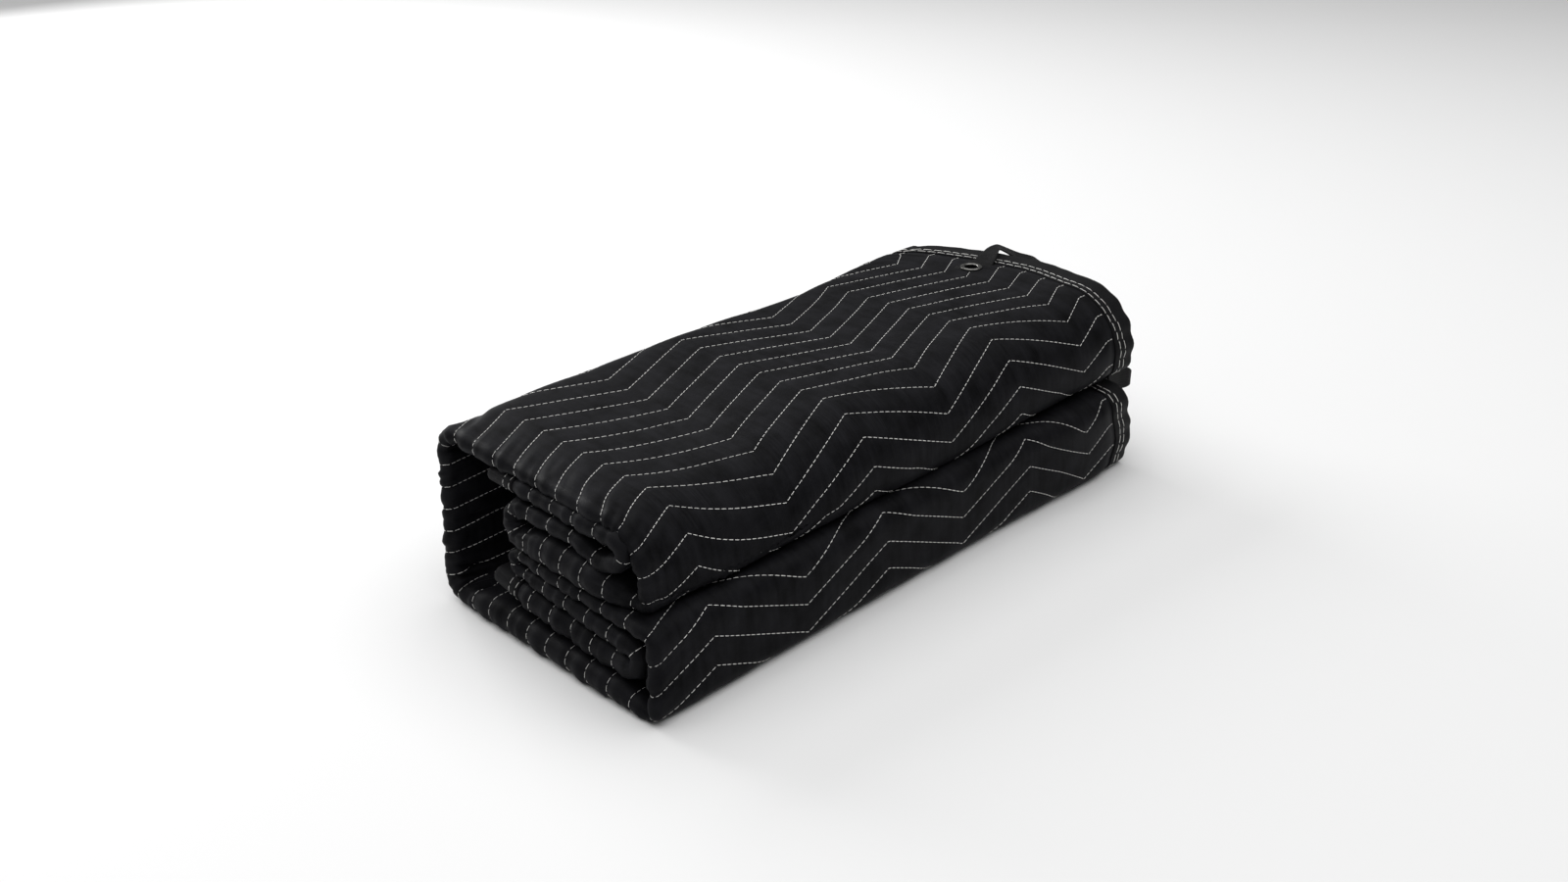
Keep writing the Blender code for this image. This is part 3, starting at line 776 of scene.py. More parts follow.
@dataclass(frozen=True)
class BrushedPolyester:
    """Woven microfibre polyester with a brushed, suede-like face."""

    name: str = "brushed_polyester_charcoal"
    dark: str = "#060607"
    light: str = "#1f1f22"
    roughness: float = 0.52
    ior: float = 1.53
    sheen: float = 0.020
    sheen_tint: str = "#bfc1ca"
    weave_mm: float = 0.9
    streak_mm: float = 4.5

    def build(self) -> bpy.types.Material:
        """Nap patches, a fine weave, and the streaks of cloth that is pressed round a fold.

        Returns:
            The material.
        """
        material, tree = new_tree(self.name)
        uv = add_node(tree, "UVMap", {"uv_map": "flat_cloth"}).outputs["UV"]
        # Light catches the nap in soft patches about 26 mm apart, crossed by brush marks 7 mm wide.
        nap = add_node(tree, "TexNoise", {"Scale": 38.0, "Detail": 4.0, "Roughness": 0.62}, {"Vector": uv})
        stretched = add_node(tree, "Mapping", {"Scale": (14.0, 150.0, 1.0)}, {"Vector": uv})
        brush = add_node(tree, "TexNoise", {"Scale": 1.0, "Detail": 3.0, "Distortion": 0.4},
                         {"Vector": stretched.outputs[0]})
        mixed = add_node(tree, "Math", {"operation": "MULTIPLY_ADD", 1: 0.45},
                         {0: brush.outputs["Fac"], 2: nap.outputs["Fac"]})
        tone = add_node(tree, "MapRange", {"From Min": 0.45, "From Max": 1.05},
                        {"Value": mixed.outputs[0]})
        colour = add_node(tree, "Mix", {"data_type": "RGBA", 6: linear(self.dark), 7: linear(self.light)},
                          {0: tone.outputs[0]})
        # The threads lie about 0.3 mm apart, too fine to show, so the weave is drawn three times as coarse.
        weave = add_node(tree, "TexVoronoi", {"Scale": 1000.0 / self.weave_mm}, {"Vector": uv})
        # Pressed round a fold, the cloth shows close uneven streaks that run round it.
        drawn = add_node(tree, "Mapping", {"Scale": (9.0, 1000.0 / self.streak_mm, 1.0)}, {"Vector": uv})
        streaks = add_node(tree, "TexNoise", {"Scale": 1.0, "Detail": 2.0, "Distortion": 0.3},
                           {"Vector": drawn.outputs[0]})
        pressed = add_node(tree, "Attribute", {"attribute_name": "pressed"})
        held = add_node(tree, "Math", {"operation": "MULTIPLY"},
                        {0: streaks.outputs["Fac"], 1: pressed.outputs["Fac"]})
        fine = add_node(tree, "Bump", {"Strength": 0.25, "Distance": 0.0003},
                        {"Height": weave.outputs["Distance"]})
        napped = add_node(tree, "Bump", {"Strength": 0.30, "Distance": 0.0006},
                          {"Height": mixed.outputs[0], "Normal": fine.outputs[0]})
        streaked = add_node(tree, "Bump", {"Strength": 0.8, "Distance": 0.0024},
                            {"Height": held.outputs[0], "Normal": napped.outputs[0]})
        shader = add_node(tree, "BsdfPrincipled",
                          {"Roughness": self.roughness, "IOR": self.ior, "Sheen Weight": self.sheen,
                           "Sheen Roughness": 0.30, "Sheen Tint": linear(self.sheen_tint),
                           "Specular IOR Level": 0.04},
                          {"Base Color": colour.outputs[2], "Normal": streaked.outputs[0]})
        add_node(tree, "OutputMaterial", None, {"Surface": shader.outputs[0]})
        return material


@dataclass(frozen=True)
class SpunPolyesterThread:
    """Off-white spun polyester sewing thread, two plies twisted."""

    name: str = "spun_polyester_thread"
    colour: str = "#fbfaf6"
    roughness: float = 0.55
    ior: float = 1.57
    twist_mm: float = 1.0

    def build(self) -> bpy.types.Material:
        """A pale thread with the dark slanting grooves of its twist.

        Returns:
            The material.
        """
        material, tree = new_tree(self.name)
        place = add_node(tree, "TexCoord").outputs["Object"]
        # The plies turn about once a millimetre, and handling greys the thread every 17 mm or so.
        twist = add_node(tree, "TexNoise", {"Scale": 1000.0 / self.twist_mm, "Detail": 1.0},
                         {"Vector": place})
        worn = add_node(tree, "TexNoise", {"Scale": 60.0, "Detail": 2.0}, {"Vector": place})
        shade = add_node(tree, "MapRange", {"To Min": 0.88, "To Max": 1.0}, {"Value": worn.outputs["Fac"]})
        colour = add_node(tree, "MixRGB", {"blend_type": "MULTIPLY", "Fac": 1.0,
                                           "Color1": linear(self.colour)}, {"Color2": shade.outputs[0]})
        bump = add_node(tree, "Bump", {"Strength": 0.4, "Distance": 0.0002},
                        {"Height": twist.outputs["Fac"]})
        shader = add_node(tree, "BsdfPrincipled", {"Roughness": self.roughness, "IOR": self.ior},
                          {"Base Color": colour.outputs[0], "Normal": bump.outputs[0]})
        add_node(tree, "OutputMaterial", None, {"Surface": shader.outputs[0]})
        return material


@dataclass(frozen=True)
class WovenTape:
    """Dark polyester or polypropylene, woven narrow: binding tape or thicker webbing."""

    name: str
    dark: str
    light: str
    rib_mm: float
    depth_mm: float
    roughness: float = 0.62
    ior: float = 1.5
    sheen: float = 0.012

    def build(self) -> bpy.types.Material:
        """Close ribs across the band, crossed by finer ones along it.

        Returns:
            The material.
        """
        material, tree = new_tree(self.name)
        uv = add_node(tree, "UVMap", {"uv_map": "flat_cloth"}).outputs["UV"]
        # The ribs stand one weft apart, and the finer warp crosses them, so that the band looks corded.
        scale = 1000.0 / self.rib_mm / WAVE_BANDS
        ribs = add_node(tree, "TexWave", {"bands_direction": "X", "Scale": scale, "Distortion": 0.6},
                        {"Vector": uv})
        cross = add_node(tree, "TexWave", {"bands_direction": "Y", "Scale": scale * 1.3, "Distortion": 0.6},
                         {"Vector": uv})
        woven = add_node(tree, "Math", {"operation": "MULTIPLY"},
                         {0: ribs.outputs["Fac"], 1: cross.outputs["Fac"]})
        worn = add_node(tree, "TexNoise", {"Scale": 70.0, "Detail": 3.0}, {"Vector": uv})
        tone = add_node(tree, "Math", {"operation": "MULTIPLY_ADD", 1: 0.5},
                        {0: woven.outputs[0], 2: worn.outputs["Fac"]})
        colour = add_node(tree, "Mix", {"data_type": "RGBA", 6: linear(self.dark), 7: linear(self.light)},
                          {0: tone.outputs[0]})
        bump = add_node(tree, "Bump", {"Strength": 0.7, "Distance": self.depth_mm / 1000},
                        {"Height": woven.outputs[0]})
        shader = add_node(tree, "BsdfPrincipled",
                          {"Roughness": self.roughness, "IOR": self.ior, "Sheen Weight": self.sheen,
                           "Specular IOR Level": 0.08},
                          {"Base Color": colour.outputs[2], "Normal": bump.outputs[0]})
        add_node(tree, "OutputMaterial", None, {"Surface": shader.outputs[0]})
        return material


@dataclass(frozen=True)
class NickelPlatedSteel:
    """Stamped steel with a bright nickel plate and light scuff marks; its colour is drawn darker, as
    painted shade for the eyelet's shaded hole and rim.
    """

    name: str = "nickel_plated_steel"
    # The plate's colour is drawn darker than bright nickel: painted shade for the eyelet's hole and rim,
    # which lie in shadow.
    colour: str = "#8f8e8b"
    # A still darker colour for patches of the plate: partly scuff marks, partly painted shade.
    scuffed_and_shaded: str = "#4f4e4c"
    roughness: float = 0.18
    dulled: float = 0.2

    def build(self) -> bpy.types.Material:
        """Metal drawn darker than its plate as painted shade, with small scuff marks that dull it and
        darken it further, partly as painted shade.

        Returns:
            The material.
        """
        material, tree = new_tree(self.name)
        place = add_node(tree, "TexCoord").outputs["Object"]
        # Fine scuff marks, 2 to 3 mm apart, break up the plate's mirror; the darker colour that they mix in
        # is partly scuff marks and partly painted shade.
        scuff_and_shade_marks = add_node(tree, "TexNoise", {"Scale": 420.0, "Detail": 4.0}, {"Vector": place})
        dull = add_node(tree, "MapRange",
                        {"From Min": 0.4, "From Max": 0.7, "To Min": self.roughness,
                         "To Max": self.roughness + self.dulled}, {"Value": scuff_and_shade_marks.outputs["Fac"]})
        # The patches darken the plate's colour: partly scuff marks, partly painted shade.
        colour = add_node(tree, "Mix",
                          {"data_type": "RGBA", 6: linear(self.colour), 7: linear(self.scuffed_and_shaded)},
                          {0: scuff_and_shade_marks.outputs["Fac"]})
        bump = add_node(tree, "Bump", {"Strength": 0.15, "Distance": 0.0002},
                        {"Height": scuff_and_shade_marks.outputs["Fac"]})
        shader = add_node(tree, "BsdfPrincipled", {"Metallic": 1.0},
                          {"Base Color": colour.outputs[2], "Roughness": dull.outputs[0],
                           "Normal": bump.outputs[0]})
        add_node(tree, "OutputMaterial", None, {"Surface": shader.outputs[0]})
        return material


@dataclass(frozen=True)
class MattPaper:
    """Seamless studio paper, matt and nearly white."""

    name: str = "matt_white_paper"
    colour: str = "#e9e9e9"

    def build(self) -> bpy.types.Material:
        """Plain pale paper with a faint tooth.

        Returns:
            The material.
        """
        material, tree = new_tree(self.name)
        place = add_node(tree, "TexCoord").outputs["Object"]
        # The paper's tooth is about 1 mm across, and only takes the shine off.
        tooth = add_node(tree, "TexNoise", {"Scale": 900.0}, {"Vector": place})
        bump = add_node(tree, "Bump", {"Strength": 0.03, "Distance": 0.0002},
                        {"Height": tooth.outputs["Fac"]})
        shader = add_node(tree, "BsdfPrincipled", {"Base Color": linear(self.colour), "Roughness": 0.9,
                                                   "Specular IOR Level": 0.1},
                          {"Normal": bump.outputs[0]})
        add_node(tree, "OutputMaterial", None, {"Surface": shader.outputs[0]})
        return material


def tube_faces(rings: int, stops: int, inside_out: bool = False,
               joined: bool = False) -> list[tuple[int, ...]]:
    """Faces of a tube through rings of points, numbered ring after ring.

    Args:
        rings: how many rings there are.
        stops: how many points each ring has.
        inside_out: whether the faces look the other way.
        joined: whether the last ring joins the first, so that the tube has no ends to close.

    Returns:
        The faces.
    """
    faces = []
    for r in range(rings if joined else rings - 1):
        here, there = r * stops, (r + 1) % rings * stops
        for k in range(stops):
            n = (k + 1) % stops
            face = (here + k, here + n, there + n, there + k)
            faces.append((face[0], *face[:0:-1]) if inside_out else face)
    if not joined:
        first, last = tuple(range(stops)), tuple(range((rings - 1) * stops, rings * stops))
        faces += [first, last[::-1]] if inside_out else [first[::-1], last]
    return faces


def make_piece(name: str, points: np.ndarray, faces: Sequence[Sequence[int]],
               flat: np.ndarray | None = None) -> bpy.types.Object:
    """A smooth mesh object, none of it below the floor.

    Args:
        name: the object's name.
        points: its points.
        faces: its faces.
        flat: for each point, its place on the flat cloth or band, for the weave.

    Returns:
        The object, linked to the scene.
    """
    mesh = bpy.data.meshes.new(name)
    points = np.array(points, dtype=float)
    points[:, 2] = np.maximum(points[:, 2], 0.0)
    mesh.from_pydata(points.tolist(), [], faces)
    mesh.shade_smooth()
    if flat is not None:
        corner_points = np.empty(len(mesh.loops), dtype=np.int32)
        mesh.loops.foreach_get("vertex_index", corner_points)
        layer = mesh.uv_layers.new(name="flat_cloth")
        layer.data.foreach_set("uv", flat[corner_points].astype(np.float32).ravel())
    piece = bpy.data.objects.new(name, mesh)
    bpy.context.scene.collection.objects.link(piece)
    return piece


def settle(piece: bpy.types.Object, material: bpy.types.Material,
           replaces: Sequence[str] = ()) -> None:
    """Give a piece its material and body, and hide the CAD nodes that it stands for.

    Args:
        piece: the piece.
        material: what it is made of.
        replaces: the nodes, if there are any.
    """
    piece.data.materials.append(material)
    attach(piece, "root")
    if replaces:
        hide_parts(*replaces)
    LOG.info("%s: %d faces", piece.name, len(piece.data.polygons))


@dataclass
class QuiltedSheet:
    """The folded, quilted blanket cloth.

    The mesh rows are close together on the outer layer and wide apart on the inner one. Out of sight,
    only one of sparse_step rows runs on.
    """

    cloth: FoldedCloth
    columns_in_row: int = 8
    clear_edge: float = 0.001
    outer_hem: tuple[float, ...] = (OUTER_END, 0.641, 0.634, 0.627, 0.620, 0.616)
    fine_start: float = 0.612
    fine_count: int = 174
    row_step: float = 0.003432
    turn_reach: float = 0.0125
    turn_count: int = 13
    inner_front: tuple[float, ...] = (-0.018, -0.025, -0.0315, -0.038)
    inner_runs: tuple[tuple[float, float, int], ...] = ((-0.038, 0.0125, 4), (-0.088, 0.025, 21))
    inner_hem: tuple[float, ...] = (-0.617, -0.623, -0.632, INNER_END)
    sparse_start: float = 0.61
    sparse_end: float = 0.038
    sparse_step: int = 8
    hidden_gap: float = 0.0123
    hidden_turn_gap: float = 0.004
    sight_margin: float = 0.03

    def columns(self) -> np.ndarray:
        """Row coordinates of the mesh columns: the two side edges, and even steps between them.

        Returns:
            The row coordinates, in rising order.
        """
        step = ROW_PITCH / self.columns_in_row
        count = int((self.cloth.width - ROW_PHASE) / step) + 1
        regular = ROW_PHASE + step * np.arange(-int(ROW_PHASE / step), count)
        in_from_edges = (regular > self.clear_edge) & (regular < self.cloth.width - self.clear_edge)
        return np.concatenate([[0.0], regular[in_from_edges], [self.cloth.width]])

    def stations(self) -> np.ndarray:
        """Distances along the cloth of the mesh rows, from the outer bound end to the inner one.

        Returns:
            The distances, in falling order.
        """
        fine = self.fine_start - self.row_step * np.arange(self.fine_count)
        turn = np.linspace(self.turn_reach, -self.turn_reach, self.turn_count)
        inner = [start - step * np.arange(1, count + 1) for start, step, count in self.inner_runs]
        return np.concatenate([self.outer_hem, fine, turn, self.inner_front, *inner, self.inner_hem])

    def plain_rows(self, w: np.ndarray) -> np.ndarray:
        """Which rows run the whole way across the cloth, and not only where it is in sight.

        Args:
            w: distances along of the mesh rows.

        Returns:
            Whether each row does.
        """
        plain = (w > self.sparse_start) | (w < self.sparse_end)
        fine = np.flatnonzero((w <= self.fine_start) & (w > self.turn_reach))
        plain[fine[::self.sparse_step]] = True
        return plain

    def hidden_grid(self, c: np.ndarray, w: np.ndarray) -> tuple[np.ndarray, np.ndarray]:
        """Numbers of the columns and rows that the face between the layers uses.

        Args:
            c: row coordinates of the mesh columns.
            w: distances along of the mesh rows.

        Returns:
            Column numbers and row numbers.
        """
        columns = sorted({0, len(c) - 1, *range(1, len(c) - 1, self.columns_in_row // 4)})
        mid_hem = len(self.outer_hem) // 2
        rows = {0, mid_hem, len(w) - 1}
        last = w[0]
        for r in np.flatnonzero(self.plain_rows(w)):
            on_turn = abs(w[r]) <= self.turn_reach
            if last - w[r] >= (self.hidden_turn_gap if on_turn else self.hidden_gap):
                rows.add(int(r))
                last = w[r]
        return np.array(columns), np.array(sorted(rows))

    def shown_mask(self, c: np.ndarray, w: np.ndarray) -> np.ndarray:
        """Which columns have a point at which rows: all of them where the cloth is in sight.

        Args:
            c: row coordinates of the mesh columns.
            w: distances along of the mesh rows.

        Returns:
            Whether there is a point, by row and column.
        """
        first, last = self.cloth.shown_span()
        path, margin = self.cloth.path, self.sight_margin
        base_start, base_end = path.end(Corner.SPINE_FOOT), path.start(Corner.LOWER_WALL_FOOT)
        on_base = (c > base_start + margin) & (c < base_end - margin)
        in_sight = (c > first - margin) & (c < last + margin) & ~on_base
        return self.plain_rows(w)[:, None] | in_sight[None, :]

    def build(self) -> bpy.types.Object:
        """Make the sheet: the shown face, the face between the layers, and the edges.

        Returns:
            The sheet.
        """
        c, w = self.columns(), self.stations()
        mask = self.shown_mask(c, w)
        number = np.full(mask.shape, -1)
        number[mask] = np.arange(mask.sum())
        rows, cols = np.nonzero(mask)
        places = [np.stack([c[cols], w[rows]], axis=1)]
        points = [self.cloth.surface(c[cols], w[rows])]
        hidden_c, hidden_w = self.hidden_grid(c, w)
        grid_w, grid_c = np.meshgrid(w[hidden_w], c[hidden_c], indexing="ij")
        points.append(self.cloth.surface(grid_c.ravel(), grid_w.ravel(), Face.HIDDEN))
        places.append(np.stack([grid_c.ravel(), grid_w.ravel()], axis=1))
        back = len(points[0]) + np.arange(grid_c.size).reshape(grid_c.shape)
        faces = self._shown_faces(number)
        for r in range(back.shape[0] - 1):
            for k in range(back.shape[1] - 1):
                faces.append([back[r, k], back[r, k + 1], back[r + 1, k + 1], back[r + 1, k]])
        faces += self._edge_faces(number, back, hidden_c, hidden_w)
        flat = np.concatenate(places)
        piece = make_piece("quilted_cloth", np.concatenate(points), [[int(i) for i in f] for f in faces],
                           np.stack([self.cloth.across(flat[:, 0], flat[:, 1]), flat[:, 1]], axis=1))
        self._mark_pressed(piece, flat)
        return piece

    def _shown_faces(self, number: np.ndarray) -> list[list[int]]:
        """Faces between neighbouring columns of the shown face.

        Args:
            number: each point's number by row and column, or -1 where there is none.

        Returns:
            The faces.
        """
        faces = []
        for k in range(number.shape[1] - 1):
            left, right = number[:, k], number[:, k + 1]
            shared = np.flatnonzero((left >= 0) & (right >= 0))
            for top, low in zip(shared, shared[1:]):
                down = [i for i in left[top:low + 1] if i >= 0]
                up = [i for i in right[top:low + 1][::-1] if i >= 0]
                faces.append(down + up)
        return faces

    def _edge_faces(self, number: np.ndarray, back: np.ndarray, hidden_c: np.ndarray,
                    hidden_w: np.ndarray) -> list[list[int]]:
        """Faces that close the sheet's four edges.

        Args:
            number: each point's number on the shown face, or -1 where there is none.
            back: each point's number on the face between the layers.
            hidden_c: the columns that the face between the layers uses.
            hidden_w: the rows that it uses.

        Returns:
            The faces.
        """
        faces = []
        for row, end, flip in ((0, 0, False), (number.shape[0] - 1, back.shape[0] - 1, True)):
            for k in range(len(hidden_c) - 1):
                run = [i for i in number[row, hidden_c[k]:hidden_c[k + 1] + 1] if i >= 0]
                ring = run + [back[end, k + 1], back[end, k]]
                faces.append(ring[::-1] if flip else ring)
        for col, end, flip in ((0, 0, True), (number.shape[1] - 1, back.shape[1] - 1, False)):
            for k in range(len(hidden_w) - 1):
                run = [i for i in number[hidden_w[k]:hidden_w[k + 1] + 1, col] if i >= 0]
                ring = run + [back[k + 1, end], back[k, end]]
                faces.append(ring[::-1] if flip else ring)
        return faces

    def _mark_pressed(self, piece: bpy.types.Object, flat: np.ndarray) -> None:
        """Mark where the cloth is pressed round the long fold at the top of the wall, for its streaks.

        Args:
            piece: the sheet.
            flat: for each point, its row coordinate and distance along.
        """
        shoulder = self.cloth.path.corners[Corner.UPPER_WALL_HEAD]
        across = self.cloth.across(flat[:, 0], flat[:, 1])
        past_fold, reach = 0.012, 0.040
        on_fold = np.exp(-((across - shoulder - past_fold) / reach) ** 2)
        along = smooth((flat[:, 1] - 0.02) / 0.06) * smooth((0.60 - flat[:, 1]) / 0.25)
        attribute = piece.data.attributes.new("pressed", "FLOAT", "POINT")
        attribute.data.foreach_set("value", (on_fold * along).astype(np.float32))


def row_places(first: float, last: float, pitch: float) -> np.ndarray:
    """Middles of the stitches of a row between two distances along it."""
    count = max(int(abs(last - first) / pitch), 1)
    return first + (np.arange(count) + 0.5) * (last - first) / count


class Course(Enum):
    """The way that a row's stitches run."""

    ALONG = "along the cloth, from one bound end to the other"
    ACROSS = "across the cloth, from one side edge to the other"


@dataclass
class Stitching:
    """Rows of thread that lie on the cloth."""

    cloth: FoldedCloth
    stitch: float = 0.0045
    space: float = 0.0013
    radius: float = 0.00028
    taken_up: float = 0.92
    margin: float = 0.02
    foot_margin: float = 0.03
    drawn_in: float = 0.28
    clear_side: float = 0.034
    outer_end: float = 0.614
    inner_end: float = -0.610
    front_outer: float = 0.040
    front_inner: float = -0.036

    def quilting(self) -> tuple[np.ndarray, np.ndarray]:
        """Stitch middles of all the quilting rows that can be seen.

        Returns:
            Row coordinates and distances along the cloth.
        """
        first, last = self.cloth.shown_span()
        spine_head = self.cloth.path.end(Corner.SPINE_HEAD)
        spine_foot = self.cloth.path.end(Corner.SPINE_FOOT)
        rows = ROW_PHASE + ROW_PITCH * np.arange(int((self.cloth.width - ROW_PHASE) / ROW_PITCH) + 1)
        rows = rows[(rows > self.clear_side) & (rows < self.cloth.width - self.clear_side)]
        pitch = (self.stitch + self.space) * self.taken_up
        found_c, found_w = [], []
        for row in rows:
            on_outside = first - self.margin < row < last + self.margin
            by_hollow = spine_head - self.margin < row < spine_foot + self.foot_margin
            high = self.outer_end if on_outside else self.front_outer
            low = self.inner_end if by_hollow else self.front_inner
            spots = row_places(high, low, pitch)
            found_w.append(spots)
            found_c.append(np.full(len(spots), row))
        return np.concatenate(found_c), np.concatenate(found_w)

    def on_top(self, c: np.ndarray) -> np.ndarray:
        """Which rows are on the upper wall or the top.

        Args:
            c: row coordinates.

        Returns:
            Whether each is.
        """
        wall_foot = self.cloth.path.start(Corner.UPPER_WALL_FOOT)
        top_end = self.cloth.path.start(Corner.SPINE_HEAD)
        return (c > wall_foot - self.margin) & (c < top_end + self.foot_margin)

    def thread(self, name: str, ends: np.ndarray, up: np.ndarray, radii: np.ndarray) -> bpy.types.Object:
        """Mesh of many short stitches.

        Args:
            name: the piece's name.
            ends: for each stitch, its points from end to end, already on the cloth's face.
            up: for each stitch, the cloth's normal.
            radii: for each stitch, the thread's radius.

        Returns:
            The piece.
        """
        count, stops = ends.shape[0], ends.shape[1]
        run = ends[:, -1] - ends[:, 0]
        run /= np.linalg.norm(run, axis=1, keepdims=True)
        side = np.cross(run, up)
        side /= np.linalg.norm(side, axis=1, keepdims=True)
        section = ((1, 0), (0, 0.8), (-1, 0), (0, -0.8))
        lifts = radii[:, None] * np.array([-0.6, 0.75, 0.75, -0.6])
        sizes = radii[:, None] * np.array([0.7, 1.0, 1.0, 0.7])
        points = np.empty((count, stops, len(section), 3))
        for i in range(stops):
            middle = ends[:, i] + up * lifts[:, i:i + 1]
            for q, (a, b) in enumerate(section):
                points[:, i, q] = middle + (side * a + up * b) * sizes[:, i:i + 1]
        one = np.array(tube_faces(stops, len(section)))
        starts = np.arange(count)[:, None, None] * len(section) * stops
        faces = (one[None] + starts).reshape(-1, 4)
        return make_piece(name, points.reshape(-1, 3), faces.tolist())

    def lay(self, name: str, c: np.ndarray, w: np.ndarray, course: Course, lift: float = 0.0,
            stitch: float | None = None, radius: float | None = None) -> bpy.types.Object:
        """Stitches on the cloth's shown face.

        Args:
            name: the piece's name.
            c: row coordinates of their middles.
            w: distances along the cloth of their middles.
            course: the way that they run.
            lift: height of the thread's bed above the cloth, for stitches on a tape.
            stitch: length of a stitch, if it isn't the quilting's.
            radius: radius of the thread, if it isn't the quilting's, which is drawn in at the front folds.

        Returns:
            The piece.
        """
        length = stitch or self.stitch
        shares = (-0.5, -0.32, 0.32, 0.5)
        slope = np.hypot(1.0, 4 * ZIGZAG_SWING / ZIGZAG_LENGTH / 2)
        across, along = (0.0, length / slope) if course is Course.ALONG else (length, 0.0)
        ends = np.empty((len(c), len(shares), 3))
        for i, share in enumerate(shares):
            ends[:, i] = self.cloth.surface(c + across * share, w + along * share, lift=lift)
        at_front = smooth((self.front_outer - np.abs(w)) / 0.030)
        drawn = self.radius * (1 - self.drawn_in * at_front)
        radii = np.full(len(c), radius) if radius else drawn
        return self.thread(name, ends, self.cloth.normal(c, w), radii)


@dataclass
class BoundEdge:
    """Binding tape round a cut edge, with its two rows of stitching.

    seams are the rows' set-backs from the edge. feel is how far in from the edge its slope is felt out,
    and how far the weave is moved along on the other face.
    """

    cloth: FoldedCloth
    width: float = 0.030
    thickness: float = 0.0008
    clear: float = 0.0003
    step: float = 0.003
    feel: float = 0.002
    side_gap: float = 0.001
    side_runs: tuple[tuple[float, float, int], ...] = ((0.644, 0.03, 60), (0.027, -0.027, 37),
                                                       (-0.03, -0.639, 60))
    seams: tuple[float, float] = (0.0195, 0.0270)
    stitch: float = 0.0080
    pitch: float = 0.0092
    radius: float = 0.00034
    first_stitch: float = 0.0465
    on_wall_out: float = 0.006
    side_reach: float = 0.10
    side_pitch: float = 0.0057

    def end_places(self, step: float) -> np.ndarray:
        """Row coordinates along a bound end, from one side tape to the other."""
        clear = self.width + self.side_gap
        return np.arange(clear, self.cloth.width - clear, step)

    def edges(self) -> list[tuple[str, str, np.ndarray, np.ndarray, int, int]]:
        """The four bound edges.

        Returns:
            For each tape, its name, the node that it stands for, the row coordinates and distances along
            of its edge's places, and the way in from there, across and along the cloth.
        """
        ends = self.end_places(self.step)
        sides = np.concatenate([np.linspace(*run) for run in self.side_runs])
        return [
            ("outer_end_tape", "end_binding_outer", ends, np.full(len(ends), OUTER_END), 0, -1),
            ("inner_end_tape", "end_binding_inner", ends, np.full(len(ends), INNER_END), 0, 1),
            ("upper_side_tape", "side_binding_upper", np.zeros(len(sides)), sides, 1, 0),
            ("lower_side_tape", "side_binding_lower", np.full(len(sides), self.cloth.width), sides, -1, 0),
        ]

    def end_seams(self) -> tuple[np.ndarray, np.ndarray]:
        """Stitch middles of the rows on the end tapes, which lie nearer the edge on the walls.

        Returns:
            Row coordinates and distances along the cloth.
        """
        found_c, found_w = [], []
        last = self.cloth.width - (self.width + self.side_gap)
        for end, way in ((OUTER_END, -1), (INNER_END, 1)):
            for back in self.seams:
                # The second row's stitches are a little out of step with the first one's.
                spots = self.end_places(self.pitch) + self.first_stitch - back
                spots = spots[spots < last]
                found_c.append(spots)
                found_w.append(end + way * (back - self.on_wall_out * self.cloth.on_walls(spots)))
        return np.concatenate(found_c), np.concatenate(found_w)

    def side_seams(self) -> tuple[np.ndarray, np.ndarray]:
        """Stitch middles of the rows on the side tapes, as far as they can be seen.

        Returns:
            Row coordinates and distances along the cloth.
        """
        spots = row_places(self.side_reach, -self.side_reach, self.side_pitch)
        edges = ((0.0, 1), (self.cloth.width, -1))
        rows = [edge + way * back for edge, way in edges for back in self.seams]
        return np.repeat(rows, len(spots)), np.tile(spots, len(rows))

    def section(self) -> tuple[np.ndarray, np.ndarray]:
        """The tape's cross-section as set-back from the edge and height above the cloth.

        Returns:
            Set-backs, below zero beyond the edge, and heights, below zero on the other face.
        """
        inner = self.clear
        outer = self.clear + self.thickness
        backs = [self.width, self.width - 0.001, 0.020, 0.011, 0.003, 0.0, -0.0010, -0.0016]
        high = [inner, outer, outer, outer, outer, outer * 0.9, outer * 0.5, 0.0]
        shown = list(zip(backs, high))
        hidden = [(b, -h) for b, h in reversed(shown[:-1])]
        inside = [(self.width, -inner), (0.011, -inner), (0.0, -inner), (-0.0004, 0.0), (0.0, inner),
                  (0.011, inner)]
        return np.array(shown + hidden + inside[1:]).T

    def strip(self, name: str, c: np.ndarray, w: np.ndarray, in_c: float, in_w: float) -> bpy.types.Object:
        """A tape along an edge.

        Args:
            name: the piece's name.
            c: row coordinates of the edge's places.
            w: distances along the cloth of the edge's places.
            in_c: 1 or -1 where the way in from the edge is across the cloth, else 0.
            in_w: 1 or -1 where the way in from the edge is along the cloth, else 0.

        Returns:
            The piece.
        """
        backs, heights = self.section()
        half = self.cloth.half_hem
        edge = self.cloth.middle(c, w)
        way_in = self.cloth.middle(c + in_c * self.feel, w + in_w * self.feel) - edge
        way_in /= np.linalg.norm(way_in, axis=1, keepdims=True)
        rings, flats = [], []
        for back, height in zip(backs, heights):
            reach = max(back, 0.0)
            at_c, at_w = c + in_c * reach, w + in_w * reach
            rise = height + half * np.sign(height)
            point = self.cloth.middle(at_c, at_w) + self.cloth.normal(at_c, at_w) * rise
            rings.append(point + way_in * min(back, 0.0))
            flats.append(np.stack([at_c, at_w], axis=1) + np.array([0.0, self.feel]) * (height < 0))
        points = np.stack(rings, axis=1)
        flat = np.stack(flats, axis=1).reshape(-1, 2)
        faces = tube_faces(*points.shape[:2])
        if in_c + in_w > 0:
            faces = [f[::-1] for f in faces]
        return make_piece(name, points.reshape(-1, 3), faces, flat)


class Band(NamedTuple):
    """A section of a webbing loop: its middle, the way its width runs, and whether it lies on the cloth.

    The width's vector is shorter than 1 where the webbing curls or is cut aslant.
    """

    x: float
    y: float
    z: float
    width_x: float
    width_y: float
    width_z: float
    on_cloth: bool


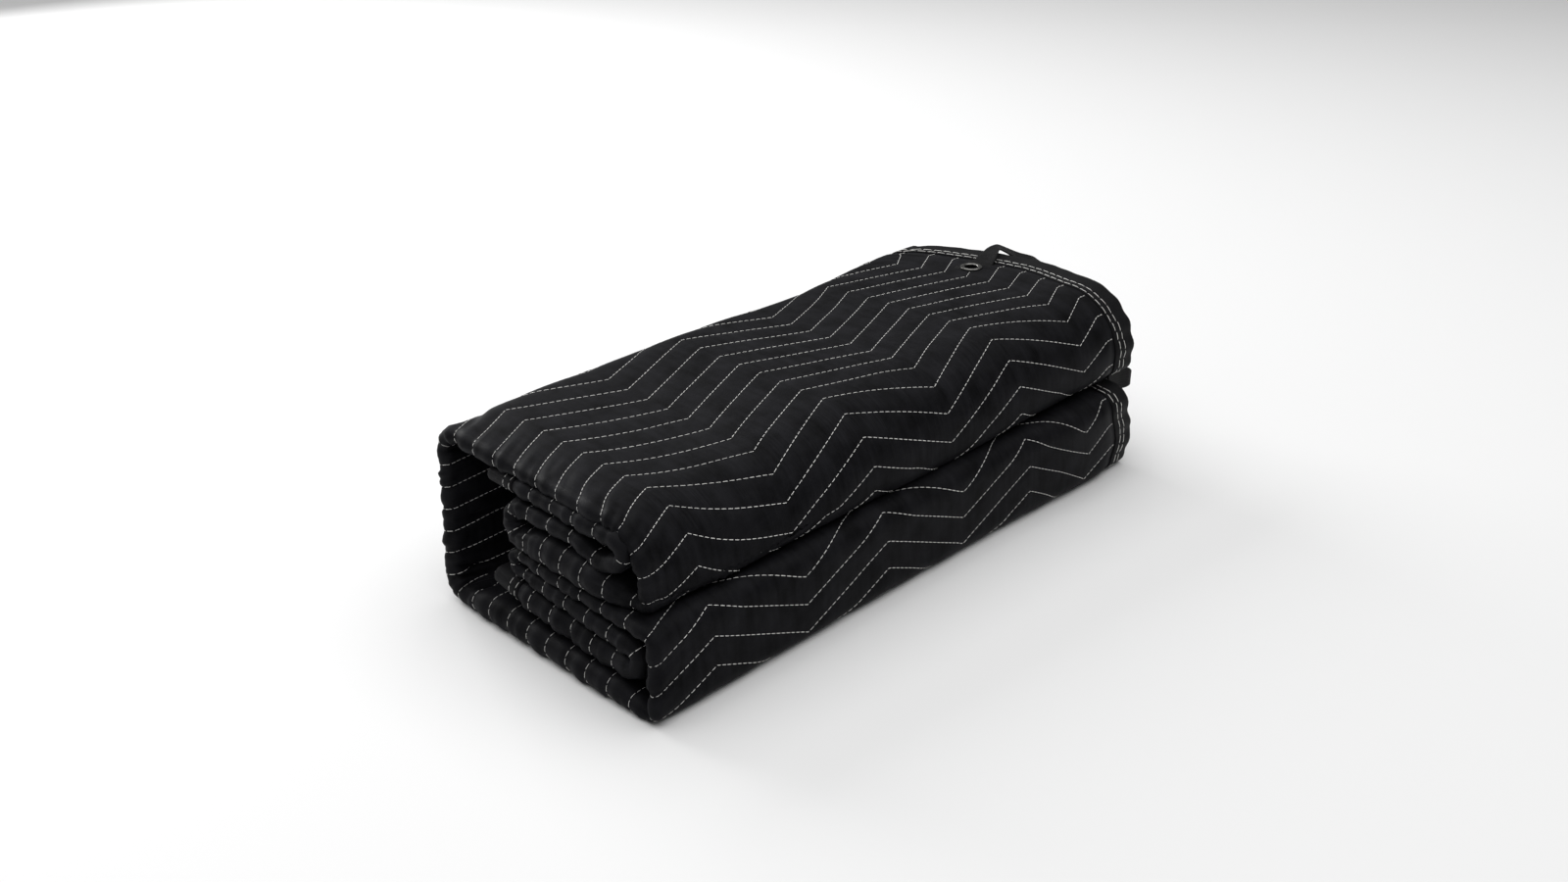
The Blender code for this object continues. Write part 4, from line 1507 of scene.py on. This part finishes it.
TOP_STRAP = (
    Band(-0.174, 0.5715, 0.0026, 1.00, 0.00, 0.00, True),
    Band(-0.174, 0.6000, 0.0026, 1.00, 0.00, 0.00, True),
    Band(-0.176, 0.6110, 0.0040, 0.95, -0.30, -0.06, True),
    Band(-0.1826, 0.6290, 0.1765, 0.90, -0.43, 0.06, False),
    Band(-0.1850, 0.6393, 0.1774, 0.75, -0.65, 0.07, False),
    Band(-0.1881, 0.6500, 0.1748, 0.68, -0.73, 0.10, False),
    Band(-0.1796, 0.6580, 0.1693, 0.62, -0.76, 0.05, False),
    Band(-0.1734, 0.6620, 0.1660, 0.55, -0.78, 0.00, False),
    Band(-0.1625, 0.6625, 0.1647, 0.50, -0.80, -0.10, False),
    Band(-0.1538, 0.6610, 0.1616, 0.40, -0.75, -0.40, False),
    Band(-0.1409, 0.6560, 0.1570, 0.25, -0.50, -0.80, False),
    Band(-0.1296, 0.6520, 0.1580, 0.00, -0.10, -1.00, False),
)
SIDE_STRAP = (
    Band(-0.0240, 0.6170, 0.0935, 0.0, 0.0, 1.00, False),
    Band(-0.0240, 0.6356, 0.0822, 0.0, 0.0, 1.00, False),
    Band(-0.0230, 0.6449, 0.0786, 0.0, 0.0, 0.95, False),
    Band(-0.0220, 0.6523, 0.0766, 0.0, 0.0, 0.78, False),
    Band(-0.0230, 0.6572, 0.0750, 0.0, 0.0, 0.60, False),
    Band(-0.0265, 0.6600, 0.0740, 0.1, 0.0, 0.48, False),
    Band(-0.0300, 0.6570, 0.0725, 0.4, 0.0, 0.55, False),
    Band(-0.0330, 0.6480, 0.0720, 0.7, 0.1, 0.60, False),
    Band(-0.0350, 0.6360, 0.0740, 0.8, 0.1, 0.50, False),
    Band(-0.0370, 0.6240, 0.0780, 0.8, 0.0, 0.50, False),
)


@dataclass
class WebbingLoop:
    """A loop of flat webbing through the sections of a table, with rounded selvedges."""

    cloth: FoldedCloth
    bands: Sequence[Band]
    width: float = 0.025
    half: float = 0.0008
    steps: int = 8
    halvings: int = 30
    other_face: float = 0.05

    def top_height(self, x: float, y: float) -> float:
        """Height of the middle of the pack's top layer at x and y.

        Args:
            x: distance across the pack, as the path's corners give it.
            y: distance from the front of the pack.

        Returns:
            The height.
        """
        path = self.cloth.path
        low, high = path.corners[Corner.UPPER_WALL_HEAD], path.corners[Corner.SPINE_HEAD]
        share = np.array([min(max(y / PACK_LENGTH, 0.0), 1.0)])
        height = 0.0
        for _ in range(self.halvings):
            across = (low + high) / 2
            point = path.place(np.array([across]), share)[0][0]
            rise = float(self.cloth.swell(np.array([across]), np.array([y]))[0])
            height = float(point[1]) + rise
            if point[0] > x:
                low = across
            else:
                high = across
        return height

    def route(self) -> tuple[np.ndarray, np.ndarray]:
        """Middles and width directions of the loop, smoothed between the table's rows.

        Returns:
            Points, and vectors along the width, as shares of it.
        """
        middles, widths = [], []
        for band in self.bands:
            z = band.z + (self.top_height(band.x, band.y) if band.on_cloth else 0.0)
            middles.append((band.x - ORIGIN[0], band.y - ORIGIN[1], z))
            widths.append((band.width_x, band.width_y, band.width_z))
        keys = np.arange(len(middles))
        fine = np.linspace(0, len(middles) - 1, (len(middles) - 1) * self.steps + 1)
        points = spline(keys, np.array(middles), fine)
        turns = spline(keys, np.array(widths), fine)
        return points, turns

    def build(self, name: str) -> bpy.types.Object:
        """Loft the webbing.

        Args:
            name: the piece's name.

        Returns:
            The piece.
        """
        points, turns = self.route()
        run = np.gradient(points, axis=0)
        run /= np.linalg.norm(run, axis=1, keepdims=True)
        up = np.cross(turns, run)
        up /= np.linalg.norm(up, axis=1, keepdims=True)
        travelled = np.concatenate([[0.0], np.cumsum(np.linalg.norm(np.diff(points, axis=0), axis=1))])
        outline = [(-0.5, 0.0), (-0.49, 0.8), (-0.44, 1.0), (-0.25, 0.92), (0.0, 0.9), (0.25, 0.92),
                   (0.44, 1.0), (0.49, 0.8), (0.5, 0.0)]
        outline += [(a, -b) for a, b in outline[-2:0:-1]]
        rings = [points + turns * (a * self.width) + up * (b * self.half) for a, b in outline]
        mesh_points = np.stack(rings, axis=1)
        sideways = [np.full(len(points), a * self.width + self.other_face * (b < 0)) for a, b in outline]
        flat = np.stack([np.stack([s, travelled], axis=1) for s in sideways], axis=1)
        faces = tube_faces(*mesh_points.shape[:2], inside_out=True)
        return make_piece(name, mesh_points.reshape(-1, 3), faces, flat.reshape(-1, 2))


def spline(keys: np.ndarray, values: np.ndarray, at: np.ndarray) -> np.ndarray:
    """A smooth curve through values at keys, by cubic pieces.

    Args:
        keys: rising numbers.
        values: the point at each key.
        at: numbers to find the curve's points for.

    Returns:
        One point for each number.
    """
    slopes = np.gradient(values, keys, axis=0)
    i = np.clip(np.searchsorted(keys, at, side="right") - 1, 0, len(keys) - 2)
    t = (at - keys[i])[:, None]
    a, b = values[i], values[i + 1]
    sa, sb = slopes[i], slopes[i + 1]
    return (a * (1 + 2 * t) * (1 - t) ** 2 + sa * t * (1 - t) ** 2
            + b * t * t * (3 - 2 * t) + sb * t * t * (t - 1))


@dataclass
class Eyelet:
    """A two-part metal eyelet, set through the webbing and the cloth."""

    cloth: FoldedCloth
    x: float = -0.1735
    y: float = 0.5830
    bore: float = 0.0067
    flange: float = 0.0112
    bed: float = 0.0038
    low: float = -0.0030
    turns: int = 64
    slope_step: float = 0.008
    punch_gap: float = 0.0005
    punch_heights: tuple[float, float] = (-0.010, 0.012)
    dip: float = 0.0085
    dip_reach: float = 0.0095
    dip_ease: float = 0.002
    top_layer_from: float = 0.15

    def build(self, name: str, loop: WebbingLoop) -> bpy.types.Object:
        """Turn the eyelet's rolled profile about its axis.

        Args:
            name: the piece's name.
            loop: the webbing that it goes through, which finds the cloth's height.

        Returns:
            The piece.
        """
        profile = [(self.bore + 0.0036, self.low), (self.flange - 0.0003, self.low),
                   (self.flange, self.low + 0.0004), (self.flange - 0.0004, self.low + 0.0008),
                   (self.bore + 0.0042, self.low + 0.0008), (self.bore + 0.0009, self.bed),
                   (self.flange - 0.0006, self.bed),
                   (self.flange, self.bed + 0.0003), (self.flange - 0.0003, self.bed + 0.0006),
                   (self.flange - 0.0014, self.bed + 0.0010), (self.bore + 0.0018, self.bed + 0.0011),
                   (self.bore + 0.0008, self.bed + 0.0009), (self.bore + 0.0002, self.bed + 0.0005),
                   (self.bore, self.bed)]
        points = [spot for k in range(self.turns) for spot in self._turned(profile, k, loop)]
        faces = tube_faces(self.turns, len(profile), inside_out=True, joined=True)
        return make_piece(name, np.array(points), faces)

    def _turned(self, profile: Sequence[tuple[float, float]], k: int,
                loop: WebbingLoop) -> list[tuple[float, float, float]]:
        """Points of a profile at one of the turns about the eyelet's axis.

        Args:
            profile: radius and height of each point.
            k: number of the turn.
            loop: the webbing, which finds the cloth's height.

        Returns:
            The points.
        """
        step = self.slope_step
        here = loop.top_height(self.x, self.y)
        ahead = loop.top_height(self.x, self.y + step)
        beside = loop.top_height(self.x + step, self.y)
        slope = Euler((math.atan2(ahead - here, step), -math.atan2(beside - here, step), 0.0))
        centre = Vector((self.x - ORIGIN[0], self.y - ORIGIN[1], here))
        angle = 2 * math.pi * k / self.turns
        points = []
        for radius, height in profile:
            spot = Vector((radius * math.cos(angle), radius * math.sin(angle), height))
            spot.rotate(slope)
            points.append(tuple(centre + spot))
        return points

    def pierce(self, strap: bpy.types.Object, loop: WebbingLoop) -> None:
        """Cut the eyelet's hole through the webbing.

        Args:
            strap: the webbing's piece.
            loop: the webbing.
        """
        profile = [(self.bore + self.punch_gap, height) for height in self.punch_heights]
        rings = [self._turned(profile, k, loop) for k in range(self.turns)]
        points = np.array([ring[0] for ring in rings] + [ring[1] for ring in rings])
        turns = self.turns
        faces = [[k, (k + 1) % turns, turns + (k + 1) % turns, turns + k] for k in range(turns)]
        faces += [list(range(turns))[::-1], [turns + k for k in range(turns)]]
        punch = make_piece("eyelet_punch", points, faces)
        cut = strap.modifiers.new("eyelet_hole", "BOOLEAN")
        cut.object = punch
        cut.solver = "EXACT"
        graph = bpy.context.evaluated_depsgraph_get()
        pierced = bpy.data.meshes.new_from_object(strap.evaluated_get(graph))
        strap.modifiers.clear()
        strap.data = pierced
        bpy.data.objects.remove(punch)

    def sink(self, piece: bpy.types.Object) -> None:
        """Press the cloth, or the stitches on it, down inside the eyelet, where its hole is cut.

        Args:
            piece: the sheet, or a piece of thread.
        """
        for vertex in piece.data.vertices:
            off = math.hypot(vertex.co.x - self.x + ORIGIN[0], vertex.co.y - self.y + ORIGIN[1])
            if off < self.dip_reach and vertex.co.z > self.top_layer_from:
                vertex.co.z -= self.dip * min((self.dip_reach - off) / self.dip_ease, 1.0)


class SoftBox(NamedTuple):
    """A square soft box: where it stands, the point that it faces, its side and its power."""

    name: str
    place: tuple[float, float, float]
    aim: tuple[float, float, float]
    size: float
    watts: float


SOFT_BOXES = (
    SoftBox("ceiling_softbox", (0.0, 0.0, 3.4), (0, 0, 0), 6.0, 178.0),
    SoftBox("key_softbox", (-2.96, -0.1, 1.36), (-0.1, -0.1, 0.15), 1.98, 72.0),
    SoftBox("front_softbox", (-0.9, -1.3, 0.8), (0, -0.1, 0.1), 1.0, 1.0),
)


@dataclass
class Studio:
    """Plain pale paper, soft white light, and the camera at the photograph's angle."""

    focal_pixels: float = 1536.741
    image_width: float = 1600.0
    sensor_width: float = 36.0
    turn: float = 0.780
    tilt: float = 0.439
    eye: tuple[float, float, float] = (0.71358 - ORIGIN[0], -0.58272 - ORIGIN[1], 0.66084)
    floor_half: float = 6.0
    surround: float = 0.20

    def camera(self) -> None:
        """Place the camera."""
        data = bpy.data.cameras.new("camera")
        data.sensor_width = self.sensor_width
        data.lens = self.focal_pixels * self.sensor_width / self.image_width
        camera = bpy.data.objects.new("camera", data)
        camera.location = self.eye
        camera.rotation_euler = (math.pi / 2 - self.tilt, 0.0, self.turn)
        bpy.context.scene.collection.objects.link(camera)
        bpy.context.scene.camera = camera

    def light(self, box: SoftBox) -> None:
        """Add one soft box.

        Args:
            box: the soft box.
        """
        data = bpy.data.lights.new(box.name, "AREA")
        data.size = box.size
        data.energy = box.watts
        lamp = bpy.data.objects.new(box.name, data)
        lamp.location = box.place
        way = Vector(box.aim) - Vector(box.place)
        lamp.rotation_euler = way.to_track_quat("-Z", "Y").to_euler()
        bpy.context.scene.collection.objects.link(lamp)

    def build(self) -> None:
        """Make the floor, the surrounding light, the soft boxes and the camera."""
        half = self.floor_half
        corners = [(-half, -half, 0), (half, -half, 0), (half, half, 0), (-half, half, 0)]
        floor = make_piece("paper_floor", np.array(corners), [(0, 1, 2, 3)])
        floor.data.materials.append(MattPaper().build())
        world = bpy.data.worlds.new("soft_surround")
        world.use_nodes = True
        background = world.node_tree.nodes["Background"]
        background.inputs["Color"].default_value = linear("#ffffff")
        background.inputs["Strength"].default_value = self.surround
        bpy.context.scene.world = world
        bpy.context.scene.view_settings.view_transform = "Standard"
        for box in SOFT_BOXES:
            self.light(box)
        self.camera()


def main() -> None:
    """Build the blanket, its trim and the studio, in order."""
    logging.basicConfig(level=logging.INFO, format="%(name)s: %(message)s")
    cloth = FoldedCloth()
    polyester = BrushedPolyester().build()
    thread = SpunPolyesterThread().build()
    tape = WovenTape("woven_polyester_tape", "#09090a", "#151517", 1.4, 0.25).build()
    webbing = WovenTape("polypropylene_webbing", "#060607", "#0d0d0e", 1.8, 0.4, 0.5).build()
    metal = NickelPlatedSteel().build()
    sheet = QuiltedSheet(cloth).build()
    settle(sheet, polyester, ["quilted_blanket"])

    stitching = Stitching(cloth)
    c, w = stitching.quilting()
    on_top = stitching.on_top(c)
    rows = {}
    for name, chosen in (("quilting_thread_top", on_top), ("quilting_thread_rest", ~on_top)):
        rows[name] = stitching.lay(name, c[chosen], w[chosen], Course.ALONG)
        settle(rows[name], thread)

    bound = BoundEdge(cloth)
    tapes = []
    for name, node, *edge in bound.edges():
        tapes.append(bound.strip(name, *edge))
        settle(tapes[-1], tape, [node])
    bed = bound.clear + bound.thickness
    hem = stitching.lay("hem_thread", *bound.end_seams(), Course.ACROSS, bed, bound.stitch, bound.radius)
    settle(hem, thread)
    side_hem = stitching.lay("side_hem_thread", *bound.side_seams(), Course.ALONG, bed)
    settle(side_hem, thread)

    top_loop = WebbingLoop(cloth, TOP_STRAP)
    top_strap = top_loop.build("top_webbing_loop")
    eyelet = Eyelet(cloth)
    eyelet.pierce(top_strap, top_loop)
    eyelet.sink(sheet)
    eyelet.sink(rows["quilting_thread_top"])
    settle(top_strap, webbing, ["tab_strap_top"])
    side_strap = WebbingLoop(cloth, SIDE_STRAP).build("side_webbing_loop")
    settle(side_strap, webbing, ["tab_strap_side"])
    settle(eyelet.build("eyelet", top_loop), metal, ["eyelet_top"])

    Studio().build()


if __name__ == "__main__":
    main()
